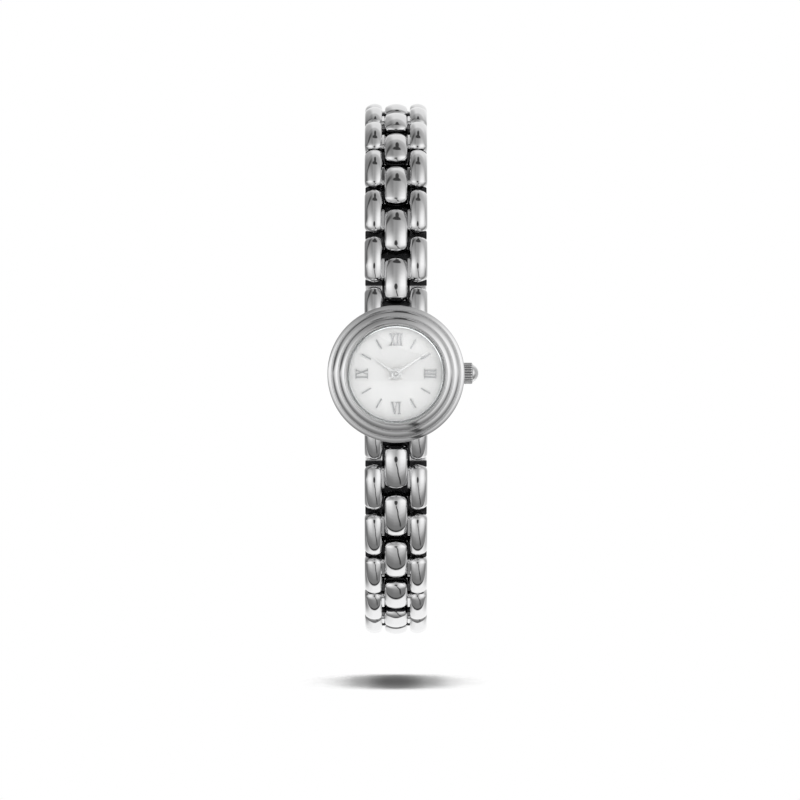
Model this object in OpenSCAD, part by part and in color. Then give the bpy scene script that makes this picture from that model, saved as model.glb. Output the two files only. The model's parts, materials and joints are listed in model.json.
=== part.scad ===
// Small round steel watch on a three-row bracelet, closed as it is worn.
// The head is drawn lying on the bench: X to the crown, Y to 12 o'clock, Z from back to crystal.
// stand_up() turns that to the model's frame: dial facing -Y, 12 o'clock to +Z, origin at the back.

/* [Head] */
// Wall of the case between the dial's bore and its outside
case_wall = 1.5; // [1.3:0.05:2]
// Height of the bezel above the case
bezel_h = 1.85; // [1.75:0.05:2.2]
// How far the bezel stands out past the case
bezel_lip = 0.6; // [0.4:0.05:0.8]
// How far each ring of the bezel steps up over the next
bezel_step = 0.45; // [0.3:0.05:0.5]
// Wall of the neck that the bezel snaps on
neck_wall = 0.5; // [0.35:0.05:0.7]
// Height of that neck
neck_h = 0.5; // [0.3:0.05:0.6]
// How far the dial reaches past the crystal
crystal_margin = 0.4; // [0.3:0.05:0.6]
// Thickness of the crystal
crystal_t = 1; // [0.7:0.05:1.2]
// Width and depth of the crystal's bevel
crystal_bevel = 0.38; // [0.2:0.02:0.5]
// Wall of the ring gasket around the crystal
crystal_gasket_t = 0.13; // [0.1:0.01:0.2]
// Width of the ledge under the crystal
crystal_ledge = 0.2; // [0.1:0.02:0.3]
// Thickness of the case back
back_t = 0.7; // [0.5:0.05:1]
// Width of the case's chamfer at the back
case_chamfer = 0.5; // [0.3:0.05:0.6]

/* [Dial and hands] */
// How far the dial reaches past the movement
dial_overhang = 0.65; // [0.5:0.05:0.8]
// Thickness of the dial
dial_t = 0.3; // [0.2:0.05:0.4]
// Room over the dial for the hands
hand_room = 1; // [0.95:0.05:1.3]
// Height of the applied markers
marker_h = 0.15; // [0.08:0.01:0.2]
// Radius of the ring that the markers stand on
marker_ring_r = 4.6; // [4:0.1:4.9]
// Height of a numeral
numeral_h = 1.62; // [1.2:0.02:1.9]
// Length of a baton marker
baton_l = 1.43; // [1:0.05:1.8]
// Width of a baton marker
baton_w = 0.18; // [0.12:0.01:0.3]
// Length of the hour hand from the centre
hour_hand_l = 3.5; // [2.8:0.1:4]
// Length of the minute hand from the centre
minute_hand_l = 5; // [4.2:0.1:5.8]
// Width of the hands at their hubs
hand_w = 0.42; // [0.3:0.02:0.6]
// Thickness of a hand
hand_t = 0.12; // [0.08:0.01:0.18]
// Minutes past ten that the hands show
shown_minute = 9.3; // [0:0.1:59]

/* [Crown and stem] */
// Diameter of the crown
crown_d = 2.83; // [2.2:0.05:3.1]
// Length of the crown's fluted part
crown_l = 1.56; // [1.3:0.05:2]
// Height of the crown's dome
crown_dome_h = 0.8; // [0.4:0.05:1.1]
// Number of flutes on the crown
crown_flutes = 24; // [16:1:30]
// Diameter of the flutes' cutter
crown_flute_d = 0.22; // [0.12:0.02:0.26]
// Height of the stem over the case back's outer face
stem_h = 1.95; // [1.9:0.05:2]
// Diameter of the stem
stem_d = 0.7; // [0.6:0.02:0.8]

/* [Movement] */
// Diameter of the movement
movement_d = 12.4; // [12:0.1:13.4]
// Diameter of the button cell
battery_d = 4.8; // [4.2:0.1:4.9]
// Height of the button cell
battery_h = 1.6; // [1.5:0.05:1.7]
// Room over the button cell, where the centre wheel turns
wheel_room = 0.5; // [0.45:0.05:0.7]
// Thickness of the main plate
plate_t = 0.35; // [0.25:0.05:0.4]
// Thickness of the train bridge
bridge_t = 0.3; // [0.2:0.05:0.35]
// Room between the main plate and the dial
works_h = 0.75; // [0.7:0.05:1]
// Module of the going train's teeth
train_module = 0.06; // [0.055:0.001:0.062]
// Distance from the centre to the minute wheel's stud
motion_distance = 1.8; // [1.7:0.05:2]
// Thickness of a wheel
wheel_t = 0.15; // [0.1:0.01:0.17]
// Diameter of the wheels' arbors
arbor_d = 0.2; // [0.16:0.01:0.22]

/* [Bracelet] */
// Distance between two hinge pins
link_pitch = 6.8; // [6.2:0.1:7.4]
// Gap between bars in a row
link_gap = 0.6; // [0.4:0.05:0.8]
// Thickness of a link, and the diameter of its rolled ends
link_t = 2.2; // [2:0.05:2.3]
// Width of a centre bar
centre_w = 3; // [2.6:0.1:3.4]
// Width of a side bar
side_w = 2.3; // [2:0.1:2.8]
// Width of the bright strip between a centre bar and a side bar
strip_w = 0.35; // [0.25:0.05:0.45]
// How far a centre bar's edges fall below its crown
centre_sag = 0.47; // [0.3:0.01:0.5]
// How far a side bar's outer edge falls below its crown
side_sag = 0.65; // [0.45:0.01:0.7]
// How far the middle of a bar rises over its rolled ends
bar_rise = 0.5; // [0.3:0.02:0.6]
// Depth of a link's flat underside below its pins
link_foot = 0.95; // [0.85:0.05:1.05]
// Radius of a bar's corners seen from the front
bar_corner = 0.6; // [0.3:0.05:0.8]
// Diameter of the hinge pins
pin_d = 0.6; // [0.5:0.05:0.8]
// Height of the hinge at the lugs over the case back's outer face
lug_axis_h = 1.9; // [1.8:0.05:2.1]
// Distance from the bezel's edge to the hinge at the lugs
lug_reach = 1.29; // [1.2:0.05:2]
// How far the lugs lean back to the wrist, in degrees
lug_lean = 17; // [0:1:20]
// Bend at each hinge of one half, from the lugs round to the clasp, in degrees
bends = [13, 13, 13, 17, 18, 15, 16, 18, 19, 18, 14];

/* [Clasp] */
// Thickness of the clasp's blades
blade_t = 0.3; // [0.2:0.05:0.35]
// Width of the clasp's blades
blade_w = 6.4; // [5.6:0.1:6.6]
// Wall of the clasp's cover
cover_t = 0.5; // [0.35:0.05:0.55]
// Width of the blades' hinge knuckles
knuckle_w = 2.8; // [2:0.1:3.2]
// Diameter of the clasp's hinge pins
clasp_pin_d = 0.45; // [0.35:0.05:0.5]

/* [Hidden] */
$fn = 48;

// Clearances
tight = 0.01;
seat = 0.02;
run = 0.04;
fit = 0.05;

// Stack of the head, from the back's outer face
movement_z = back_t + 0.25;
plate_z = movement_z + battery_h + wheel_room;
plate_top = plate_z + plate_t;
dial_z = plate_top + works_h;
dial_top = dial_z + dial_t;
case_top = dial_top + 0.1;
neck_top = case_top + neck_h;
seat_z = dial_top + hand_room;
bezel_top = case_top + bezel_h;

// Radii of the head
movement_r = movement_d / 2;
dial_r = movement_r + dial_overhang;
bore_r = dial_r + fit;
case_r = bore_r + case_wall;
bezel_r = case_r + bezel_lip;
neck_r = bore_r + neck_wall;
crystal_r = dial_r - crystal_margin;
opening_r = crystal_r + crystal_gasket_t + 2 * tight;
ledge_r = crystal_r - crystal_ledge;
bezel_rings = 3;
ring_r = 0.56 * (bezel_r - opening_r) / bezel_rings;
ring_span = (bezel_r - opening_r - 2 * ring_r) / (bezel_rings - 1);
gasket_w = 0.3;
gasket_h = 0.25;
gasket_r = bore_r + gasket_w;
snap_w = 0.25;
snap_h = 0.6;
back_r = case_r - case_chamfer;

// Movement
holder_lip = 0.2;
holder_r = movement_r - holder_lip;
battery_r = battery_d / 2;
battery_clear = 0.15;
battery_edge = 0.1;
battery_turn = -110;
battery_at = (holder_r - battery_edge - battery_r) * [cos(battery_turn), sin(battery_turn)];
pillars = [[1.1 - holder_r, 0.2], [2.3, 2.4], [1.9, -1.95]];
pillar_r = 0.45;
screw_r = 0.2;
screw_l = 1;
screw_head_r = 0.38;
screw_head_h = 0.15;

// Teeth of the going train: centre wheel, two pinions of one size, intermediate wheel
centre_teeth = 60;
pinion_teeth = 6;
between_teeth = 54;
between_turn = 130;
rotor_turn = 160;
between_at = train_module * (centre_teeth + pinion_teeth) / 2 * [cos(between_turn), sin(between_turn)];
rotor_at = between_at
    + train_module * (between_teeth + pinion_teeth) / 2 * [cos(rotor_turn), sin(rotor_turn)];
centre_wheel_drop = 0.25;
between_wheel_drop = 0.4;
centre_wheel_z = plate_z - wheel_t - centre_wheel_drop;
between_wheel_z = centre_wheel_z - between_wheel_drop;
rotor_h = 0.3;
rotor_r = 0.5;
rotor_z = centre_wheel_z - 0.1;
stator_t = 0.25;
stator_air = 0.1;
stator_z = rotor_z + (rotor_h - stator_t) / 2;

// Teeth of the motion work: cannon pinion, minute wheel, its pinion, hour wheel
cannon_teeth = 12;
minute_teeth = 36;
minute_pinion_teeth = 10;
hour_teeth = 40;
cannon_module = 2 * motion_distance / (cannon_teeth + minute_teeth);
hour_module = 2 * motion_distance / (minute_pinion_teeth + hour_teeth);
minute_turn = -30;
minute_at = motion_distance * [cos(minute_turn), sin(minute_turn)];
minute_wheel_z = plate_top + 0.06;
hour_wheel_z = minute_wheel_z + wheel_t + 0.12;
centre_arbor_r = 0.25;
hour_tube_r = 0.42;
hour_tube_bore = centre_arbor_r + run;
hour_hand_z = dial_top + marker_h + 0.12;
minute_hand_z = hour_hand_z + hand_t + 0.15;
minute_angle = 6 * shown_minute;
hour_angle = 300 + shown_minute / 2;

// Bracelet
link_r = link_t / 2;
bar_l = link_pitch - link_gap;
side_start = link_pitch + link_r - bar_l;
centre_end = bar_l - link_r;
side_x = centre_w / 2 + strip_w;
half_w = side_x + side_w;
side_peak = side_x + 0.44 * side_w;
saddle_t = 0.3;
saddle_inset = 0.3;
saddle_start = side_start + saddle_inset;
saddle_end = centre_end + link_gap - 0.1;
saddle_floor = fit - link_foot;
strip_r = 0.55;
strip_top = link_r - centre_sag - fit;
rivet_s = (side_start + centre_end) / 2;
pin_r = pin_d / 2;
pin_inset = 0.075;
pin_l = 2 * (half_w - pin_inset);
links = len(bends);
lug_hinge = [-lug_axis_h, bezel_r + lug_reach];

// Clasp, drawn with X across, Y down the wrist and Z outwards, from the middle of its length
clasp_half = hinge(links)[1];
eye_gap = 0.35;
blade_z = -link_r;
blade_top = blade_z + blade_t;
cover_pin = [-clasp_half + link_t, 0.1];
blade_pin = [clasp_half - link_t - 0.7, -0.6];
cover_z = cover_pin[1] + 0.8;
cover_sag = 0.3;
cover_foot = 0.15 - link_r;
cover_end = clasp_half - link_r - eye_gap;
knuckle_r = 0.45;
clasp_pin_r = clasp_pin_d / 2;
middle_z = blade_top + 0.25;
wall_x = blade_w / 2 + 0.3;
eye_w = centre_w + 0.2;
stud_r = 0.5;
stud_y = 1.5;
blade_gap = 0.3;

// Names and places along the bracelet
function link_name(half, k) = str(half, "_link_", k < 10 ? "0" : "", k);
function lean(k) = k == 0 ? 0 : lean(k - 1) + bends[k - 1];
function hinge(k) = k == 0 ? lug_hinge : hinge(k - 1) + link_pitch * [sin(lean(k)), cos(lean(k))];

// Radius of an arc from its half chord and its rise
function arc_r(half, rise) = (half * half + rise * rise) / (2 * rise);

// Outline of a gear, four points a tooth, tooth 0 centred on the X axis
function gear_points(teeth, m) = [
    for (i = [0:teeth - 1], p = [[-1, -1.15], [-0.45, 0.9], [0.45, 0.9], [1, -1.15]])
        let (r = m * teeth / 2 + p[1] * m, a = (i + 0.24 * p[0]) * 360 / teeth) r * [cos(a), sin(a)]
];

module gear(teeth, m, t) {
    linear_extrude(t) polygon(gear_points(teeth, m));
}

// Turns to mesh two gears on a line at the given angle: a tooth there, and a gap facing it
module tooth_at(angle) {
    rotate(angle) children();
}

module gap_at(angle, teeth) {
    rotate(angle + 180 + 180 / teeth) children();
}

module stand_up() {
    rotate([90, 0, 0]) children();
}

module tube(outer, inner, z0, z1) {
    difference() {
        translate([0, 0, z0]) cylinder(r = outer, h = z1 - z0);
        translate([0, 0, z0 - 1]) cylinder(r = inner, h = z1 - z0 + 2);
    }
}

// A rod along X at a height, from x0 to x1
module rod_x(r, x0, x1) {
    translate([x0, 0, 0]) rotate([0, 90, 0]) cylinder(r = r, h = x1 - x0);
}

// Head

module lug() {
    translate([0, lug_hinge[1], 0]) rotate([-lug_lean, 0, 0])
        bar(side_x, half_w, link_r - bar_l, link_r);
}

module case_body() {
    color("silver") stand_up() difference() {
        union() {
            rotate_extrude() polygon([
                [bore_r, back_t], [back_r, back_t], [case_r, back_t + case_chamfer],
                [case_r, case_top], [neck_r, case_top], [neck_r, neck_top], [bore_r, neck_top]
            ]);
            translate([0, 0, lug_axis_h]) for (end = [0, 1], side = [0, 1])
                mirror([side, 0, 0]) mirror([0, end, 0]) difference() {
                    lug();
                    cylinder(r = neck_r, h = 4 * link_t, center = true);
                }
        }
        tube(gasket_r + gasket_w, gasket_r, 0, back_t + gasket_h);
        translate([0, 0, stem_h]) rod_x(tube_r() + tight, 0, bezel_r);
        translate([0, 0, lug_axis_h]) for (end = [-1, 1])
            translate([0, end * lug_hinge[1], 0]) rod_x(pin_r + tight, -lug_pin_end(), lug_pin_end());
    }
}

function tube_r() = stem_d / 2 + 0.25;
function lug_pin_end() = side_x + side_w / 2;

module bezel() {
    ring_top = bezel_top - ring_r;
    color("gainsboro") stand_up() rotate_extrude() difference() {
        union() {
            for (i = [0:bezel_rings - 1])
                translate([opening_r + ring_r + i * ring_span, ring_top - i * bezel_step])
                    circle(ring_r);
            polygon([
                [neck_r + seat, case_top],
                [bezel_r - ring_r, case_top],
                [bezel_r - ring_r, ring_top - (bezel_rings - 1) * bezel_step],
                [opening_r + ring_r, ring_top],
                [ledge_r, ring_top],
                [ledge_r, neck_top + seat],
                [neck_r + seat, neck_top + seat]
            ]);
        }
        translate([0, seat_z]) square([opening_r, bezel_h]);
        translate([0, seat_z - 2 * bezel_h]) square([ledge_r, 3 * bezel_h]);
        translate([0, case_top - bezel_h]) square([bezel_r, bezel_h]);
    }
}

module crystal() {
    color("white", 0.3) stand_up() rotate_extrude() polygon([
        [0, seat_z],
        [crystal_r, seat_z],
        [crystal_r, seat_z + crystal_t - crystal_bevel],
        [crystal_r - crystal_bevel, seat_z + crystal_t],
        [0, seat_z + crystal_t]
    ]);
}

module crystal_gasket() {
    color("white") stand_up()
        tube(opening_r - tight, crystal_r + tight, seat_z, seat_z + 0.5 * crystal_t);
}

module case_back() {
    color("silver") stand_up() union() {
        cylinder(r = back_r, h = back_t);
        tube(bore_r - seat, bore_r - seat - snap_w, back_t / 2, back_t + snap_h);
    }
}

module case_back_gasket() {
    color("dimgray") stand_up()
        tube(gasket_r + gasket_w - tight, gasket_r + tight, back_t, back_t + gasket_h - tight);
}

tube_wall = 0.1;
tube_reach = 0.7;

module case_tube() {
    color("silver") stand_up() translate([0, 0, stem_h]) difference() {
        rod_x(tube_r(), bore_r + fit, case_r + tube_reach);
        rod_x(tube_r() - tube_wall, 0, case_r + 1);
    }
}

module lug_pins() {
    color("gray") stand_up() translate([0, 0, lug_axis_h]) for (end = [-1, 1])
        translate([0, end * lug_hinge[1], 0]) rod_x(pin_r, fit - lug_pin_end(), lug_pin_end() - fit);
}

// Dial, markers and hands

dial_hole_r = hour_tube_r + 0.08;
dial_foot_r = 0.25;
dial_foot_edge = 0.56;
dial_feet = [for (turn = [27.5, 207.5]) (movement_r - dial_foot_edge) * [cos(turn), sin(turn)]];

module dial() {
    color("white") stand_up() difference() {
        union() {
            translate([0, 0, dial_z]) cylinder(r = dial_r, h = dial_t);
            for (foot = dial_feet)
                translate([foot[0], foot[1], plate_z + fit])
                    cylinder(r = dial_foot_r, h = plate_t + works_h);
        }
        translate([0, 0, dial_z - 1]) cylinder(r = dial_hole_r, h = dial_t + 2);
    }
}

// A stroke from one point to another, flat
module stroke(from, to, w) {
    along = to - from;
    translate(from) rotate(atan2(along[1], along[0])) translate([0, -w / 2]) square([norm(along), w]);
}

// Letters of the numerals, one high, centred on x = 0
bold = 0.11;
fine = 0.05;
i_w = 0.27;
v_w = 0.56;

module serif(x, y, w) {
    translate([x - w / 2, y > 0.5 ? y - fine : y]) square([w, fine]);
}

module letter_i() {
    stroke([0, 0], [0, 1], bold);
    serif(0, 0, i_w);
    serif(0, 1, i_w);
}

module letter_v() {
    stroke([-v_w / 3, 1], [0.03, 0], bold);
    stroke([v_w / 3, 1], [0.03, 0], fine);
    serif(-v_w / 3, 1, 0.9 * i_w);
    serif(v_w / 3, 1, 0.9 * i_w);
}

module letter_x() {
    stroke([-v_w / 3, 1], [v_w / 3, 0], bold);
    stroke([v_w / 3, 1], [-v_w / 3, 0], fine);
    for (x = [-v_w / 3, v_w / 3], y = [0, 1]) serif(x, y, 0.9 * i_w);
}

function letter_w(c) = c == "I" ? i_w : v_w;
function letter_x0(word, n) = n == 0 ? 0 : letter_x0(word, n - 1) + letter_w(word[n - 1]);

module numeral(word) {
    width = letter_x0(word, len(word));
    linear_extrude(marker_h) scale(numeral_h) translate([-width / 2, -0.5])
        for (n = [0:len(word) - 1]) translate([letter_x0(word, n) + letter_w(word[n]) / 2, 0]) {
            if (word[n] == "I") letter_i();
            if (word[n] == "V") letter_v();
            if (word[n] == "X") letter_x();
        }
}

module hour_markers() {
    color("gainsboro") stand_up() translate([0, 0, dial_top]) {
        translate([0, marker_ring_r, 0]) numeral("XII");
        translate([0, -marker_ring_r, 0]) numeral("VI");
        rotate(-90) translate([0, marker_ring_r, 0]) numeral("III");
        rotate(90) translate([0, marker_ring_r, 0]) numeral("IX");
        for (hour = [1, 2, 4, 5, 7, 8, 10, 11])
            rotate(-30 * hour) translate([-baton_w / 2, marker_ring_r - baton_l / 2, 0])
                cube([baton_w, baton_l, marker_h]);
    }
}

hub_wall = 0.37;
hour_tail = 0.9;
minute_tail = 1.1;

module hand(length, w, hub_r, bore_r, tail) {
    difference() {
        union() {
            linear_extrude(hand_t) polygon([
                [-w / 2, 0], [-w / 3, -tail], [w / 3, -tail], [w / 2, 0],
                [w / 5, 0.85 * length], [0.03, length], [-0.03, length], [-w / 5, 0.85 * length]
            ]);
            cylinder(r = hub_r, h = hand_t);
        }
        translate([0, 0, -1]) cylinder(r = bore_r, h = hand_t + 2);
    }
}

module hour_hand() {
    color("lightgray") stand_up() rotate(-hour_angle) translate([0, 0, hour_hand_z])
        hand(hour_hand_l, hand_w, hour_tube_r + hub_wall, hour_tube_r + tight, hour_tail);
}

module minute_hand() {
    color("lightgray") stand_up() rotate(-minute_angle) translate([0, 0, minute_hand_z])
        hand(
            minute_hand_l, 0.9 * hand_w, centre_arbor_r + 0.7 * hub_wall, centre_arbor_r + tight,
            minute_tail
        );
}

// Movement

module at(place, z) {
    translate([place[0], place[1], z]) children();
}

module hour_wheel() {
    color("goldenrod") stand_up() difference() {
        union() {
            translate([0, 0, hour_wheel_z]) gap_at(minute_turn + 180, hour_teeth)
                gear(hour_teeth, hour_module, wheel_t);
            translate([0, 0, hour_wheel_z])
                cylinder(r = hour_tube_r, h = hour_hand_z + hand_t - hour_wheel_z);
        }
        translate([0, 0, dial_z - works_h]) cylinder(r = hour_tube_bore, h = 2 * works_h + hand_room);
    }
}

module centre_wheel() {
    color("goldenrod") stand_up() {
        translate([0, 0, centre_wheel_z])
            tooth_at(between_turn) gear(centre_teeth, train_module, wheel_t);
        translate([0, 0, centre_wheel_z])
            cylinder(r = centre_arbor_r, h = minute_hand_z + hand_t - centre_wheel_z);
        translate([0, 0, minute_wheel_z])
            tooth_at(minute_turn) gear(cannon_teeth, cannon_module, wheel_t + 0.04);
        translate([0, 0, movement_z + fit]) cylinder(r = arbor_d / 2, h = centre_wheel_z - movement_z);
    }
}

module minute_wheel() {
    color("goldenrod") stand_up() at(minute_at, minute_wheel_z) difference() {
        union() {
            gap_at(minute_turn, minute_teeth) gear(minute_teeth, cannon_module, wheel_t);
            tooth_at(minute_turn + 180)
                gear(minute_pinion_teeth, hour_module, hour_wheel_z + wheel_t - minute_wheel_z);
        }
        translate([0, 0, -1]) cylinder(r = arbor_d / 2 + run, h = works_h + 2);
    }
}

module intermediate_wheel() {
    color("goldenrod") stand_up() {
        at(between_at, between_wheel_z) tooth_at(rotor_turn) gear(between_teeth, train_module, wheel_t);
        at(between_at, centre_wheel_z - 0.1) gap_at(between_turn, pinion_teeth)
            gear(pinion_teeth, train_module, wheel_t + 0.2);
        at(between_at, movement_z + fit) cylinder(r = arbor_d / 2, h = plate_top - movement_z - 2 * fit);
    }
}

module rotor() {
    color("dimgray") stand_up() {
        at(rotor_at, rotor_z) cylinder(r = rotor_r, h = rotor_h);
        at(rotor_at, between_wheel_z - 0.05) gap_at(rotor_turn, pinion_teeth)
            gear(pinion_teeth, train_module, wheel_t + 0.1);
        at(rotor_at, movement_z + fit) cylinder(r = arbor_d / 2, h = plate_top - movement_z - 2 * fit);
    }
}

coil_r = 0.55;
coil_y = holder_r - coil_r - 0.85;
coil_l = 4.4;
core_l = 6.2;
core_w = 0.6;
stator_arm = 0.7;

module stator() {
    end = core_l / 2;
    back = coil_y + core_w / 2;
    front = coil_y - coil_r - 0.15;
    color("slategray") stand_up() translate([0, 0, stator_z]) difference() {
        linear_extrude(stator_t) polygon([
            [-end, back], [-end, coil_y - 1],
            [rotor_at[0] - 1, rotor_at[1] + 0.8], [rotor_at[0] - 1, rotor_at[1] - 0.8],
            [rotor_at[0] + 1, rotor_at[1] - 0.8], [rotor_at[0] + 1.4, rotor_at[1] + 0.8],
            [end, coil_y - 1.4], [end, back], [end - stator_arm, back], [end - stator_arm, front],
            [stator_arm - end, front], [stator_arm - end, back]
        ]);
        at(rotor_at, -1) cylinder(r = rotor_r + stator_air, h = stator_t + 2);
    }
}

module coil() {
    core_t = 0.25;
    color("chocolate") stand_up() translate([0, coil_y, stator_z - core_t / 2]) {
        difference() {
            rod_x(coil_r, -coil_l / 2, coil_l / 2);
            cube([core_l, core_w, core_t] + 2 * tight * [1, 1, 1], center = true);
        }
        cube([core_l, core_w, core_t] - tight * [1, 1, 1], center = true);
    }
}

stem_block_l = 0.55;
stem_block_w = 1.4;
stem_block_foot = 0.55;
stem_block_x = [2.7, holder_r - stem_block_l - 0.5];
stem_pilot_r = 0.2;

module main_plate() {
    color("silver") stand_up() difference() {
        union() {
            translate([0, 0, plate_z]) cylinder(r = movement_r - fit, h = plate_t);
            for (p = pillars)
                at(p, movement_z + bridge_t + tight)
                    cylinder(r = pillar_r, h = plate_z - movement_z - bridge_t);
            for (x = stem_block_x)
                translate([x, -stem_block_w / 2, stem_h - stem_block_foot])
                    cube([stem_block_l, stem_block_w, plate_z + fit - stem_h + stem_block_foot]);
            at(minute_at, plate_top - fit) cylinder(r = arbor_d / 2, h = works_h - fit);
        }
        for (p = [between_at, rotor_at])
            at(p, plate_z - 1) cylinder(r = arbor_d / 2 + run, h = plate_t + 2);
        translate([0, 0, plate_z - 1]) cylinder(r = centre_arbor_r + run, h = plate_t + 2);
        for (foot = dial_feet) at(foot, plate_z - 1) cylinder(r = dial_foot_r + tight, h = plate_t + 2);
        for (p = pillars) at(p, movement_z) cylinder(r = screw_r + tight, h = plate_z - movement_z);
        translate([0, 0, stem_h]) rod_x(stem_pilot_r + run, 1, stem_block_x[0] + 1);
        translate([0, 0, stem_h]) rod_x(stem_d / 2 + run, stem_block_x[1] - 0.5, movement_r);
    }
}

bridge_edge = 0.4 - holder_r;

module train_bridge() {
    color("silver") stand_up() difference() {
        translate([0, 0, movement_z]) linear_extrude(bridge_t) polygon([
            [bridge_edge, -0.6], [bridge_edge, 1.4], [-3.8, 3.3], [2.95, 3.3],
            [2.95, -2.6], [1.3, -2.6], [0.9, -0.9]
        ]);
        at(battery_at, 0) cylinder(r = battery_r + battery_clear, h = plate_z);
        for (p = [[0, 0], between_at, rotor_at]) at(p, 0) cylinder(r = arbor_d / 2 + run, h = plate_z);
        for (p = pillars) at(p, 0) cylinder(r = screw_r + run, h = plate_z);
    }
}

module bridge_screws() {
    color("gray") stand_up() for (p = pillars) {
        at(p, movement_z - screw_head_h) cylinder(r = screw_head_r, h = screw_head_h);
        at(p, movement_z - screw_head_h / 2) cylinder(r = screw_r, h = screw_l + screw_head_h / 2);
    }
}

module movement_ring() {
    color("whitesmoke") stand_up() difference() {
        rotate_extrude() polygon([
            [holder_r, back_t + snap_h + fit], [bore_r - fit, back_t + snap_h + fit],
            [bore_r - fit, dial_z],
            [movement_r, dial_z], [movement_r, plate_z], [holder_r, plate_z]
        ]);
        translate([0, 0, stem_h]) rod_x(stem_d / 2 + 0.1, 0, bezel_r);
    }
}

cell_step = 0.2;

module battery() {
    color("silver") stand_up() {
        at(battery_at, movement_z) cylinder(r = 0.82 * battery_r, h = battery_h / 2);
        at(battery_at, movement_z + cell_step) cylinder(r = battery_r, h = battery_h - cell_step);
    }
}

module battery_clamp() {
    clamp_t = 0.12;
    clamp_w = 0.9;
    eye_r = 0.7;
    reach = pillars[2] - battery_at;
    color("silver") stand_up() at(battery_at, movement_z - clamp_t - tight) difference() {
        linear_extrude(clamp_t) union() {
            stroke(-0.35 * reach, reach, clamp_w);
            translate(reach) circle(eye_r);
        }
        at(reach, -1) cylinder(r = screw_head_r + fit, h = 3);
    }
}

module circuit_board() {
    board_z = movement_z + bridge_t + 0.1;
    board_t = 0.15;
    board_top = board_z + board_t;
    rim = holder_r - 0.4;
    inner_x = 2.7;
    inner_y = [-3.5, -1];
    tip = [1.6, -4.5];
    quartz_at = [rim - 1.3, -3.7];
    chip_at = [inner_x + 0.15, inner_y[0] - 0.1];
    quartz_r = 0.42;
    quartz_l = 2.4;
    chip = [0.9, 1.1, 0.35];
    color("seagreen") stand_up() {
        translate([0, 0, board_z]) linear_extrude(board_t) polygon(concat(
            [[inner_x, inner_y[1]]],
            [for (turn = [-10, -27, -48, -71]) rim * [cos(turn), sin(turn)]],
            [tip, [inner_x, inner_y[0]]]
        ));
        translate([quartz_at[0], quartz_at[1], board_top + quartz_r + run])
            rotate([-90, 0, 0]) cylinder(r = quartz_r, h = quartz_l);
        translate([chip_at[0], chip_at[1], board_top + tight]) cube(chip);
    }
}

// Crown and stem

crown_x = case_r + 0.1;
crown_bore_l = 0.85;
crown_socket_l = 0.5;
square_w = 0.42;
square_x = [stem_block_x[0] + 0.6, stem_block_x[1] - 0.35];
keyless_teeth = 14;
keyless_module = 0.075;
keyless_l = stem_block_x[1] - stem_block_x[0] - stem_block_l - 0.5;

module stem() {
    color("gray") stand_up() translate([0, 0, stem_h]) {
        rod_x(stem_pilot_r, stem_block_x[0] - 0.4, square_x[0] + 0.1);
        translate([square_x[0], -square_w / 2, -square_w / 2])
            cube([square_x[1] - square_x[0] + 0.1, square_w, square_w]);
        rod_x(stem_d / 2, square_x[1], crown_x + crown_bore_l + crown_socket_l);
    }
}

module sliding_pinion() {
    color("gray") stand_up() translate([0, 0, stem_h]) difference() {
        rotate([0, 90, 0]) translate([0, 0, stem_block_x[0] + stem_block_l + 0.1])
            gear(keyless_teeth, keyless_module, keyless_l);
        translate([0, -square_w / 2 - run, -square_w / 2 - run])
            cube([crown_x, square_w + 2 * run, square_w + 2 * run]);
    }
}

module crown() {
    crown_r = crown_d / 2;
    dome_r = arc_r(crown_r, crown_dome_h);
    color("gainsboro") stand_up() translate([crown_x, 0, stem_h]) rotate([0, 90, 0]) difference() {
        rotate_extrude() difference() {
            union() {
                square([crown_r, crown_l]);
                intersection() {
                    translate([0, crown_l + crown_dome_h - dome_r]) circle(dome_r);
                    translate([0, crown_l - fit]) square([crown_r, 2 * crown_dome_h]);
                }
            }
            square([tube_r() + 0.1, crown_bore_l]);
            square([stem_d / 2 + tight, crown_bore_l + crown_socket_l + tight]);
        }
        for (i = [0:crown_flutes - 1]) rotate(i * 360 / crown_flutes)
            translate([crown_r + 0.02, 0, -1]) cylinder(r = crown_flute_d / 2, h = crown_l + 0.88);
    }
}

module crown_gasket() {
    color("dimgray") stand_up() translate([0, 0, stem_h]) difference() {
        rod_x(tube_r() - tube_wall - tight, case_r - 0.1, case_r + 0.2);
        rod_x(stem_d / 2 + tight, case_r - 1, case_r + 1);
    }
}

// Bracelet, each link drawn with Y along it from its first hinge and Z to its outer face

// Turns an outline seen from the side, along the link and outwards, into a solid from x0 to x1
module across(x0, x1) {
    translate([x0, 0, 0]) rotate([90, 0, 90]) linear_extrude(x1 - x0) children();
}

// A bar's rolled ends and what lies between them, seen from the side
module bar_side(s0, s1) {
    for (s = [s0 + link_r, s1 - link_r]) translate([s, 0]) circle(link_r);
    translate([s0 + link_r, -link_r]) square([s1 - s0 - link_t, link_t]);
}

// Rounded corners, seen from the front
module bar_plan(x0, x1, s0, s1) {
    c = bar_corner;
    translate([x0 + c, s0]) square([x1 - x0 - 2 * c, s1 - s0]);
    translate([x0, s0 + c]) square([x1 - x0, s1 - s0 - 2 * c]);
    for (x = [x0 + c, x1 - c], s = [s0 + c, s1 - c]) translate([x, s]) circle(c);
}

// A barrel around a line across the link, widest at the peak
module barrel(r, x0, x1, peak, crown_r) {
    translate([x0, 0, 0]) rotate([0, 90, 0]) rotate_extrude($fn = 120) intersection() {
        translate([r - crown_r, peak - x0]) circle(crown_r, $fn = 120);
        square([r, x1 - x0]);
    }
}

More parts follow.
